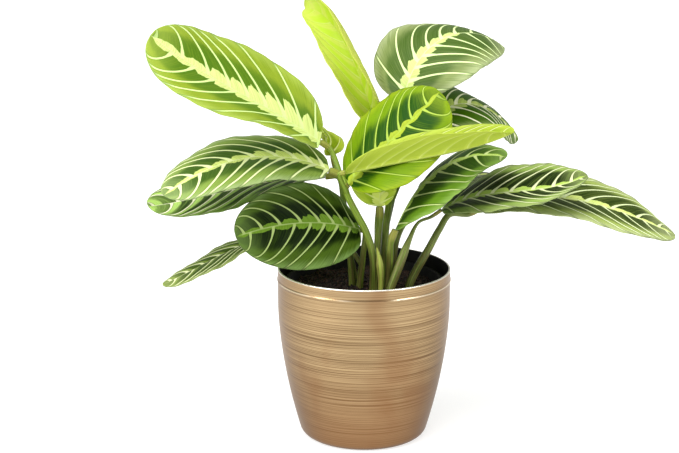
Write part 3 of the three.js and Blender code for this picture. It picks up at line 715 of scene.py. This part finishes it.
def turned_mesh(name, profile, sides):
    """A smooth turned shape from a profile in millimetres that runs up the outside."""
    mesh = new_mesh(name, *turned(profile[::-1], sides))
    mesh.shade_smooth()
    return mesh


def pot_radius(height):
    """The cover pot's outer radius: full near the rim, drawn in below, and rounded under at the foot."""
    drop = max(0, 1 - height / POT_STRAIGHT_FROM)
    wall = POT_RADIUS * (1 - POT_TAPER * drop ** POT_TAPER_POWER)
    low = max(0, 1 - height / FOOT_ROUNDING)
    return wall - FOOT_ROUNDING * (1 - math.sqrt(1 - low ** 2))


def cover_pot_profile(bead_depth):
    """The cover pot's outline, up the outside, over the rim and down the inside."""
    foot = [FOOT_ROUNDING * (1 - math.cos(math.radians(a))) for a in range(0, 91, 10)]
    heights = foot + list(np.linspace(FOOT_ROUNDING, POT_HEIGHT - RIM_ROUNDING, 76)[1:])
    outside = []
    for height in sorted(set(heights) | {BEAD_HEIGHT + step * 0.25 for step in range(-7, 8)}):
        near = min(1, abs(height - BEAD_HEIGHT) / BEAD_HALF_WIDTH)
        swell = bead_depth * (0.5 + 0.5 * math.cos(math.pi * near))
        outside.append((pot_radius(height) + swell, height))
    turns = [math.radians(angle) for angle in range(15, 180, 15)]
    rim = [(POT_RADIUS - RIM_ROUNDING * (1 - math.cos(turn)),
            POT_HEIGHT - RIM_ROUNDING * (1 - math.sin(turn))) for turn in turns]
    inside = [(pot_radius(height) - POT_WALL, height)
              for height in np.linspace(POT_HEIGHT - RIM_ROUNDING, FOOT_ROUNDING + POT_WALL, 40)]
    floor = [(pot_radius(POT_WALL) - POT_WALL, POT_WALL), (0, POT_WALL)]
    return [(0, 0), *outside, *rim, *inside, *floor]


def streak_pattern():
    """Marks of a brush drawn level round a turned shape: long, thin and slightly wandering."""
    tree, w, given = new_group("Level brush marks", [
        ("Position", "Vector"), ("Fineness", "Float", 2300.0), ("Wander", "Float", 0.0004),
    ], [("Fine", "Float"), ("Coarse", "Float"), ("Lines", "Float"), ("Patches", "Float")])
    x, y, z = w.parts(given["Position"])
    drift = w.times(w.less(w.noise(given["Position"], 14.0, 1.0), 0.5), given["Wander"])
    lifted = w.add(z, drift)

    def drawn(stretch, share, detail):
        """Noise whose marks run round the shape, at a share of the given fineness."""
        level = w.times(lifted, w.times(given["Fineness"], share))
        return w.noise(w.vector(w.times(x, stretch), w.times(y, stretch), level), 1.0, detail, 0.6)

    lines = w.times(w.ease(drawn(6.0, 0.9, 0.0), 0.34, 0.24),
                    w.ease(drawn(5.0, 0.05, 1.0), 0.45, 0.6, 0.15, 0.8))
    patches = w.noise(w.vector(w.times(x, 24.0), w.times(y, 24.0), w.times(z, 14.0)), 1.0, 2.0)
    return close_group(tree, Fine=drawn(7.0, 1.0, 2.0), Coarse=drawn(5.0, 0.4, 2.0), Lines=lines,
                       Patches=patches)


def gold_material(settings, pattern):
    """Brushed gold lacquer with random coppery patches. Painted light lightens its upper part, painted shade
    turns it coppery towards the foot and browner towards its sides, and a grey painted reflection lies along
    its outline. A painted highlight runs along the raised line, and the rim is near white, partly bare metal
    and partly painted highlight."""
    material, w, shader = new_material("Brushed gold lacquer", Metallic=1.0)
    height = w.parts(w.position())[2]
    marks = w.node("ShaderNodeGroup", {"node_tree": pattern}, Position=w.position()).outputs
    fine, coarse, lines, patches = (marks[label] for label in ("Fine", "Coarse", "Lines", "Patches"))
    dark, light, copper_and_foot_shade = tuple(settings.gold_dark), tuple(settings.gold_light_marks_and_top_light), tuple(settings.copper_and_foot_shade)
    colour = w.washed(tuple(settings.gold), (light, coarse, 0.4, 0.62, 0.4), (dark, fine, 0.49, 0.35, 0.85),
                      (light, fine, 0.51, 0.64, 0.95))
    turned_away = w.turned_away(0.35)
    # Painted light on the upper part, random coppery patches, painted shade in copper towards the foot,
    # painted shade in brown towards the sides and a grey painted reflection along the outline.
    colour = w.washed(w.blend(w.times(lines, 0.8), colour, dark),
                      (light, height, 0.06, 0.12, 0.3), (copper_and_foot_shade, patches, 0.5, 0.7, 0.5),
                      (copper_and_foot_shade, height, 0.08, 0.0, 0.7), (paint("#6b4f32"), turned_away, 0.1, 0.7, 0.7),
                      (paint("#726659"), turned_away, 0.88, 1.0, 0.8))
    # A painted highlight along the raised line, fading where the patches are coppery; then the rim's top
    # painted near white, partly bare metal and partly painted highlight.
    near_bead = w.math("ABSOLUTE", w.less(height, (BEAD_HEIGHT + 0.4) * MM))
    bead_highlight = w.times(w.ease(near_bead, 0.0006, 0.0002), w.ease(patches, 0.42, 0.55, 0.6, 0.0))
    colour = w.washed(w.blend(bead_highlight, colour, paint("#f0e2c8")), (paint("#f4efe8"), height, *BRIGHT_RIM_BAND, 1.0))
    dress(w, shader, colour, fine, 0.2, 0.0002, w.add(0.3, w.times(fine, 0.2)))
    return material


def grain_material(name, colour, roughness, scale, depth, **values):
    """Paint or plastic with a faint grain."""
    material, w, shader = new_material(name, roughness, **values)
    fine = w.noise(w.position(), scale, 3.0)
    dust = w.noise(w.position(), scale * 0.08, 3.0)
    dress(w, shader, w.washed(colour, (paint("#2c2824"), dust, 0.4, 0.75, 0.3)), fine, 0.3, depth,
          w.add(roughness, w.times(w.less(dust, 0.5), 0.2)))
    return material


def nursery_radius(height):
    """The nursery pot's outer radius below its lip."""
    share = (height - NURSERY_FOOT) / (NURSERY_RIM - NURSERY_FOOT)
    return between((NURSERY_FOOT_RADIUS, NURSERY_TOP_RADIUS), share)


def nursery_profile():
    """The nursery pot's outline, up the outside, over the lip and down the inside."""
    lip = NURSERY_TOP_RADIUS + NURSERY_LIP_WIDTH
    under_lip = NURSERY_RIM - NURSERY_LIP_DROP
    floor = NURSERY_FOOT + NURSERY_WALL
    inner = NURSERY_TOP_RADIUS - NURSERY_WALL
    return [
        (0, NURSERY_FOOT), (NURSERY_FOOT_RADIUS - 1, NURSERY_FOOT), (NURSERY_FOOT_RADIUS, NURSERY_FOOT + 0.6),
        (nursery_radius(under_lip), under_lip - 0.01), (lip - 0.3, under_lip), (lip, under_lip + 0.3),
        (lip, NURSERY_RIM - 0.5), (lip - 0.5, NURSERY_RIM), (inner + 0.4, NURSERY_RIM),
        (inner, NURSERY_RIM - 0.4), (nursery_radius(floor) - NURSERY_WALL, floor), (0, floor),
    ]


def plain_copy(piece, name):
    """The evaluated mesh of a helper object as a plain mesh. The helper is removed."""
    graph = bpy.context.evaluated_depsgraph_get()
    mesh = bpy.data.meshes.new_from_object(
        piece.evaluated_get(graph), preserve_all_data_layers=True, depsgraph=graph)
    mesh.name = name
    piece.modifiers.clear()
    bpy.data.objects.remove(piece)
    return mesh


def grown(name, mesh, tree, values):
    """Runs a geometry tree on a mesh and returns what it makes as a plain mesh."""
    piece = helper(name + "_source", mesh)
    modifier = piece.modifiers.new("Grow", "NODES")
    modifier.node_group = tree
    for item in tree.interface.items_tree:
        if item.item_type == "SOCKET" and item.in_out == "INPUT" and item.name in values:
            modifier[item.identifier] = values[item.name]
    return plain_copy(piece, name)


def nursery_mesh():
    """The thin plastic pot with its drain holes cut out."""
    pot = helper("nursery_source", turned_mesh("nursery", nursery_profile(), NURSERY_SIDES))
    plugs = []
    for k in range(DRAIN_HOLES):
        turn = (k + 0.5) / DRAIN_HOLES * FULL_TURN
        plug = turned_mesh("plug", [(0, 0), (DRAIN_RADIUS, 0), (DRAIN_RADIUS, 6), (0, 6)], 24)
        plug.transform(Matrix.Translation(Vector((math.cos(turn), math.sin(turn), 0)) * DRAIN_CIRCLE * MM))
        plugs.append(helper(f"plug_{k}", plug))
        modifier = pot.modifiers.new(f"Hole {k}", "BOOLEAN")
        modifier.object, modifier.operation, modifier.solver = plugs[k], "DIFFERENCE", "EXACT"
    mesh = plain_copy(pot, "nursery_pot_smooth")
    for plug in plugs:
        bpy.data.objects.remove(plug)
    return mesh


def soil_top(x, y):
    """The height of the soil, slightly heaped, lumpy and crumbled."""
    far = math.hypot(x, y) / NURSERY_TOP_RADIUS
    lumps = math.sin(x / 5.1 + 1) * math.cos(y / 6.3) + math.sin((x + y) / 3.7) * 0.6
    crumble = noise.fractal(Vector((x, y, 3.0)) * 0.35, 1.0, 2.1, 4) * 0.9
    return SOIL_LEVEL + SOIL_HEAP * (1 - far ** 2) + SOIL_LUMPS * lumps + crumble


def soil_mesh(rings=70, sides=180):
    """The filling of the nursery pot, with a crumbled top."""
    floor = NURSERY_FOOT + NURSERY_WALL + GAP
    brim, low = (nursery_radius(height) - NURSERY_WALL - GAP for height in (SOIL_LEVEL - 2, floor))
    top = [(brim * ring / rings, SOIL_LEVEL) for ring in range(rings + 1)]
    points, faces = turned([*top, (low, floor), (0, floor)], sides)
    points = [(x, y, z if z == floor else soil_top(x, y)) for x, y, z in points]
    return new_mesh("soil_bed", points, faces)


def crumb_tree():
    """Crumbs lying on the upward faces of a mesh."""
    tree, w, given = new_group("Soil crumbs", [
        ("Geometry", "Geometry"), ("Crumbs", "Float"), ("Smallest", "Float"), ("Largest", "Float"),
        ("Seed", "Int"), ("Material", "Material"),
    ], [("Geometry", "Geometry")], "GeometryNodeTree")
    seed, largest = given["Seed"], given["Largest"]
    upright = w.parts(w.out("GeometryNodeInputNormal"))[2]
    points = w.out("GeometryNodeDistributePointsOnFaces", Mesh=given["Geometry"],
                   Selection=w.math("GREATER_THAN", upright, 0.5), Density=given["Crumbs"], Seed=seed)
    stone = w.out("GeometryNodeMeshIcoSphere", Radius=1.0, Subdivisions=1)
    turn = w.node("FunctionNodeRandomValue", {"data_type": "FLOAT_VECTOR"}, Seed=seed)
    turn.inputs["Max"].default_value = (CRUMB_TURN,) * 3
    stretch = w.node("FunctionNodeRandomValue", {"data_type": "FLOAT_VECTOR"}, Seed=w.add(seed, 9))
    w.put(stretch.inputs["Min"], given["Smallest"])
    w.put(stretch.inputs["Max"], largest)
    spread = w.out("GeometryNodeInstanceOnPoints", Points=points, Instance=stone,
                   Rotation=turn.outputs[0], Scale=stretch.outputs[0])
    solid = w.out("GeometryNodeRealizeInstances", Geometry=spread)
    chip = w.less(w.noise(w.out("GeometryNodeInputPosition"), 1400.0, 2.0), 0.5)
    shift = w.node("ShaderNodeVectorMath", {"operation": "SCALE"}, Scale=w.times(chip, largest))
    w.put(shift.inputs[0], w.out("GeometryNodeInputNormal"))
    chipped = w.out("GeometryNodeSetPosition", Geometry=solid, Offset=shift.outputs[0])
    dressed = w.out("GeometryNodeSetMaterial", Geometry=chipped, Material=given["Material"])
    return close_group(tree, Geometry=dressed)


def peat_material(settings):
    """Dark, damp, crumbly peat with flecks of bark."""
    material, w, shader = new_material("Damp peat", 0.9)
    crumbs = w.noise(w.position(), 420.0, 4.0, 0.65)
    flecks = w.noise(w.position(), 1300.0, 2.0)
    colour = w.washed(paint("#0e0907"), (tuple(settings.peat), crumbs, 0.42, 0.66, 1.0),
                      (paint("#74452c"), flecks, 0.62, 0.74, 0.7))
    dress(w, shader, colour, w.add(crumbs, w.times(flecks, 0.4)), 0.9, 0.0008)
    return material


def smooth_path(points, spacing=1.5):
    """Points about a spacing apart on the same smooth curve that the solid stalks follow."""
    knots = [np.array(point, float) for point in points]
    knots = [2 * knots[0] - knots[1], *knots, 2 * knots[-1] - knots[-2]]
    dense = []
    for a, b, c, d in zip(knots, knots[1:], knots[2:], knots[3:]):
        before, step, after = (np.linalg.norm(q - p) ** 0.5 for p, q in ((a, b), (b, c), (c, d)))
        enter = ((b - a) / before - (c - a) / (before + step) + (c - b) / step) * step
        leave = ((c - b) / step - (d - b) / (step + after) + (d - c) / after) * step
        count = max(2, round(np.linalg.norm(c - b) / spacing))
        for t in np.arange(count) / count:
            dense.append(b + enter * t + (-3 * b + 3 * c - 2 * enter - leave) * t ** 2
                         + (2 * b - 2 * c + enter + leave) * t ** 3)
    return np.array([*dense, knots[-2]])


def arrival(leaf, joint):
    """The last stretch of a stalk, which runs into its blade's midrib and stops a gap short of it."""
    ahead = blade_frame(leaf, np.array(0.0))[0]
    base = np.array(leaf[1], float)
    return [base - ahead * joint, base - ahead * GAP]


def stalk_lines(shoot):
    """Every stalk of a shoot as a line of points with its radius and its distance to the leaf."""
    foot, stalks = shoot
    upright = [(*foot, SOIL_LEVEL - STEM_DEPTH), (*foot, SOIL_LEVEL + STEM_UPRIGHT)]
    lines = []
    for radii, path, leaf_name, joint, *start in stalks:
        start = start or upright
        end = arrival(LEAVES[leaf_name], joint) if leaf_name else []
        points = smooth_path([*start, *path, *end])
        run = np.concatenate([[0], np.cumsum(np.linalg.norm(np.diff(points, axis=0), axis=1))])
        share, to_leaf = run / run[-1], run[-1] - run
        thick = np.interp(share, np.linspace(0, 1, len(radii)), radii)
        if leaf_name:
            inside_joint = np.clip(1 - np.abs(to_leaf - joint * 0.45) / (joint * 0.7), 0, 1)
            thick = thick * (1 + JOINT_SWELL * inside_joint ** 0.6)
        lines.append((points, thick, to_leaf * JOINT_LENGTH / joint if leaf_name else to_leaf + 100))
    return lines


def line_mesh(name, lines):
    """Lines as bare edges that carry their radius and their distance to the leaf, in metres."""
    edges, first = [], 0
    for line, _, _ in lines:
        edges += [(first + k, first + k + 1) for k in range(len(line) - 1)]
        first += len(line)
    points, thick, to_leaf = (np.concatenate(column) for column in zip(*lines))
    mesh = new_mesh(name, points, [], edges)
    keep_map(mesh, "thick", thick * MM)
    keep_map(mesh, "to_leaf", to_leaf * MM)
    return mesh


def stalk_tree():
    """Round tubes along edges, as thick as the edges say, with a map of the way round."""
    tree, w, given = new_group("Stalks along lines", [
        ("Geometry", "Geometry"), ("Sides", "Int"), ("Material", "Material"),
    ], [("Geometry", "Geometry")], "GeometryNodeTree")
    curve = w.out("GeometryNodeMeshToCurve", Mesh=given["Geometry"])
    radius = w.out("GeometryNodeInputNamedAttribute", Name="thick")
    ring = w.out("GeometryNodeCurvePrimitiveCircle", Resolution=given["Sides"], Radius=1.0)
    way_round = w.node("GeometryNodeSplineParameter").outputs["Factor"]
    ring = w.out("GeometryNodeStoreNamedAttribute", Geometry=ring, Name="way_round", Value=way_round)
    tube = w.out("GeometryNodeCurveToMesh", Curve=curve, Profile_Curve=ring, Scale=radius, Fill_Caps=True)
    solid = w.out("GeometryNodeRealizeInstances", Geometry=tube)
    smooth = w.out("GeometryNodeSetShadeSmooth", Geometry=solid)
    dressed = w.out("GeometryNodeSetMaterial", Geometry=smooth, Material=given["Material"])
    return close_group(tree, Geometry=dressed)


def stalk_pattern():
    """Lengthwise lines, brown marks, painted shade that darkens a stalk towards the soil, and a swollen joint
    of another colour.
    """
    tree, w, given = new_group("Stalk skin", [
        ("Green", "Color"), ("Shaded", "Color"), ("Joint", "Color"), ("Joint Length", "Float", 0.008),
    ], [("Color", "Color"), ("Height", "Float")])
    height = w.parts(w.position())[2]
    way_round = w.times(w.attribute("way_round"), FULL_TURN)
    circle = w.vector(w.math("COSINE", way_round), w.math("SINE", way_round), w.times(height, 9.0))
    lines, broad = w.noise(circle, 5.0, 3.0), w.noise(circle, 2.2, 1.0)
    mottle = w.noise(w.position(), 260.0, 3.0)
    # Painted shade: a stalk turns from Green to Shaded towards the soil.
    low = w.fade(height, 0.11, 0.18)
    colour = w.washed(w.blend(low, given["Green"], given["Shaded"]),
                      (paint("#9db450"), lines, 0.5, 0.68, 0.5), (paint("#34451a"), lines, 0.47, 0.3, 0.6))
    brown = w.add(w.ease(mottle, 0.55, 0.75, 0.0, 0.3), w.times(low, w.ease(broad, 0.5, 0.62, 0.0, 0.5)))
    colour = w.blend(brown, colour, paint("#6e5638"))
    at_joint = w.ease(w.attribute("to_leaf"), w.times(given["Joint Length"], 0.6),
                      w.times(given["Joint Length"], 1.15), 0.5, 0.0)
    return close_group(tree, Color=w.blend(at_joint, colour, given["Joint"]),
                       Height=w.add(lines, w.times(mottle, 0.3)))


def stalk_material(name, pattern, *colours):
    """The material of a stalk from its colours: green, shaded and joint."""
    material, w, shader = new_material(name, 0.42, Specular_IOR_Level=0.25)
    skin = w.node("ShaderNodeGroup", {"node_tree": pattern})
    for label, value in zip(("Green", "Shaded", "Joint"), colours):
        skin.inputs[label].default_value = value
    # Painted shade darkening a stalk towards its outline.
    colour = w.washed(skin.outputs["Color"], (paint("#33421a"), w.turned_away(0.4), 0.35, 1.0, 0.7))
    dress(w, shader, colour, skin.outputs["Height"], 0.35, 0.0004)
    return material


class PLANT_OT_pots(bpy.types.Operator):
    """Build the brushed gold cover pot and the nursery pot inside it"""
    bl_idname = "prayer_plant.pots"
    bl_label = "Pots"

    def execute(self, context):
        settings = context.scene.prayer_plant_pots
        mesh = turned_mesh("cover_pot_smooth", cover_pot_profile(settings.bead_depth / MM), POT_SIDES)
        mesh.materials.append(gold_material(settings, streak_pattern()))
        mesh.materials.append(grain_material("Black inside", tuple(settings.inside), 0.42, 900.0, 0.0001))
        for face in mesh.polygons:
            centre = face.center / MM
            wall = pot_radius(centre.z) if centre.z < POT_HEIGHT - RIM_ROUNDING else POT_RADIUS
            is_inner = math.hypot(centre.x, centre.y) < wall - POT_WALL + 0.25 and centre.z > POT_WALL / 2
            face.material_index = int(is_inner)
        placed("cover_pot_smooth", mesh, ["cover_pot"])
        inner = nursery_mesh()
        inner.materials.clear()
        inner.materials.append(grain_material("Black plastic", tuple(settings.plastic), 0.7, 1500.0, 0.0001,
                                              Specular_IOR_Level=0.15))
        placed("nursery_pot_smooth", inner, ["nursery_pot"])
        return {"FINISHED"}


class PLANT_OT_soil(bpy.types.Operator):
    """Fill the nursery pot with peat and scatter crumbs over it"""
    bl_idname = "prayer_plant.soil"
    bl_label = "Soil"

    def execute(self, context):
        settings = context.scene.prayer_plant_soil
        peat = peat_material(settings)
        bed = soil_mesh()
        crumbs = grown("soil_crumbs", bed.copy(), crumb_tree(), {
            "Crumbs": settings.crumbs, "Smallest": settings.smallest, "Largest": settings.largest,
            "Seed": settings.seed, "Material": peat})
        bed.materials.append(peat)
        placed("soil_bed", bed, ["soil"])
        placed("soil_crumbs", crumbs)
        return {"FINISHED"}


class PLANT_OT_stalks(bpy.types.Operator):
    """Grow every shoot with its side stalks"""
    bl_idname = "prayer_plant.stalks"
    bl_label = "Stalks"

    def execute(self, context):
        settings = context.scene.prayer_plant_stalks
        pattern, tree, slots = stalk_pattern(), stalk_tree(), slots_of_nodes()
        sheath, joint = tuple(settings.sheath), tuple(settings.joint)
        skins = {
            "stalk_green": stalk_material("Stalk skin green", pattern, tuple(settings.green),
                                          tuple(settings.shaded), joint),
            "sheath_green": stalk_material("Sheath skin", pattern, sheath, sheath, joint),
            # The bud's second colour is painted shade near the soil.
            "leaf_young": stalk_material("Bud skin", pattern, paint("#a0ac42"), paint("#86903a"), joint),
        }
        for name, shoot in SHOOTS.items():
            lines = line_mesh(name, stalk_lines(shoot))
            mesh = grown(name + "_round", lines, tree,
                         {"Sides": settings.sides, "Material": skins[slots[name]]})
            placed(name + "_round", mesh, [name])
        return {"FINISHED"}


class PLANT_OT_leaves(bpy.types.Operator):
    """Build every leaf blade with its veins, quilting and midrib"""
    bl_idname = "prayer_plant.leaves"
    bl_label = "Leaves"

    def execute(self, context):
        settings = context.scene.prayer_plant_leaves
        pattern = blade_pattern()
        for number, (name, leaf) in enumerate(LEAVES.items()):
            mesh = blade_mesh(name + "_blade", leaf, settings)
            mesh.materials.append(blade_material(name + " skin", leaf[0], pattern, 3.7 * number))
            placed(name + "_blade", mesh, [name])
        return {"FINISHED"}


class PLANT_OT_stage(bpy.types.Operator):
    """Set up the pale floor, the soft light and the camera"""
    bl_idname = "prayer_plant.stage"
    bl_label = "Stage"

    def execute(self, context):
        scene, settings = context.scene, context.scene.prayer_plant_stage
        corners = [(x * FLOOR_REACH, y * FLOOR_REACH, 0) for x, y in ((-1, -1), (1, -1), (1, 1), (-1, 1))]
        mesh = new_mesh("floor", corners, [(0, 1, 2, 3)])
        material, w, shader = new_material("Pale floor", 0.9, Emission_Color=WHITE,
                                           Emission_Strength=FLOOR_GLOW, Specular_IOR_Level=0.0)
        soft = w.noise(w.position(), 3.0, 2.0)
        w.put(shader.inputs["Base Color"],
              w.washed(tuple(settings.floor), (paint("#b0b0b0"), soft, 0.3, 0.7, 0.03)))
        mesh.materials.append(material)
        floor = helper("floor", mesh)

        scene.world = bpy.data.worlds.new("Even light")
        scene.world.use_nodes = True
        sky = main_node(scene.world, "BACKGROUND")
        sky.inputs["Color"].default_value = WHITE
        sky.inputs["Strength"].default_value = settings.sky
        scene.view_settings.view_transform = "Standard"

        lamps = (
            ("Left light", (-1.15, -0.8, 0.7), 0.45, settings.side),
            ("Right light", (1.15, -0.8, 0.7), 0.45, settings.side * 0.6),
            ("Sun", (-0.4, -0.5, 1.8), None, settings.sun),
        )
        for name, place, width, power in lamps:
            lamp = bpy.data.lights.new(name, "AREA" if width else "SUN")
            lamp.energy = power
            if width:
                lamp.shape, lamp.size = "SQUARE", width
            else:
                lamp.angle = math.radians(SUN_SPREAD)
            holder = helper(name, lamp)
            holder.location = place
            holder.rotation_euler = (LIGHT_AIM - Vector(place)).to_track_quat("-Z", "Y").to_euler()

        lens = bpy.data.cameras.new("Camera")
        lens.lens, lens.sensor_width = settings.lens, SENSOR_WIDTH
        lens.clip_start, lens.clip_end = 0.05, 60
        camera = helper("Camera", lens)
        pitch = math.radians(CAMERA_PITCH)
        back = Vector((0, -math.cos(pitch), math.sin(pitch))) * CAMERA_DISTANCE
        camera.location = CAMERA_AIM + back
        camera.rotation_euler = (math.pi / 2 - pitch, 0, 0)
        scene.camera = camera
        return {"FINISHED"}


class PLANT_PT_panel(bpy.types.Panel):
    """Lists what can be built and what can be changed"""
    bl_idname = "PLANT_PT_panel"
    bl_label = "Prayer plant"
    bl_space_type = "VIEW_3D"
    bl_region_type = "UI"
    bl_category = "Prayer plant"

    def draw(self, context):
        for name, (group, operator) in PARTS.items():
            box = self.layout.box()
            box.operator(operator.bl_idname)
            for label in group.__annotations__:
                box.prop(getattr(context.scene, name), label)


PARTS = {
    "prayer_plant_stage": (StageSettings, PLANT_OT_stage),
    "prayer_plant_pots": (PotSettings, PLANT_OT_pots),
    "prayer_plant_soil": (SoilSettings, PLANT_OT_soil),
    "prayer_plant_stalks": (StalkSettings, PLANT_OT_stalks),
    "prayer_plant_leaves": (LeafSettings, PLANT_OT_leaves),
}


def register():
    for name, (group, operator) in PARTS.items():
        bpy.utils.register_class(group)
        bpy.utils.register_class(operator)
        setattr(bpy.types.Scene, name, bpy.props.PointerProperty(type=group))
    bpy.utils.register_class(PLANT_PT_panel)


def unregister():
    bpy.utils.unregister_class(PLANT_PT_panel)
    for name, (group, operator) in PARTS.items():
        delattr(bpy.types.Scene, name)
        bpy.utils.unregister_class(operator)
        bpy.utils.unregister_class(group)


def main():
    register()
    bpy.ops.prayer_plant.stage()
    bpy.ops.prayer_plant.pots()
    bpy.ops.prayer_plant.soil()
    bpy.ops.prayer_plant.stalks()
    bpy.ops.prayer_plant.leaves()


if __name__ == "__main__":
    main()
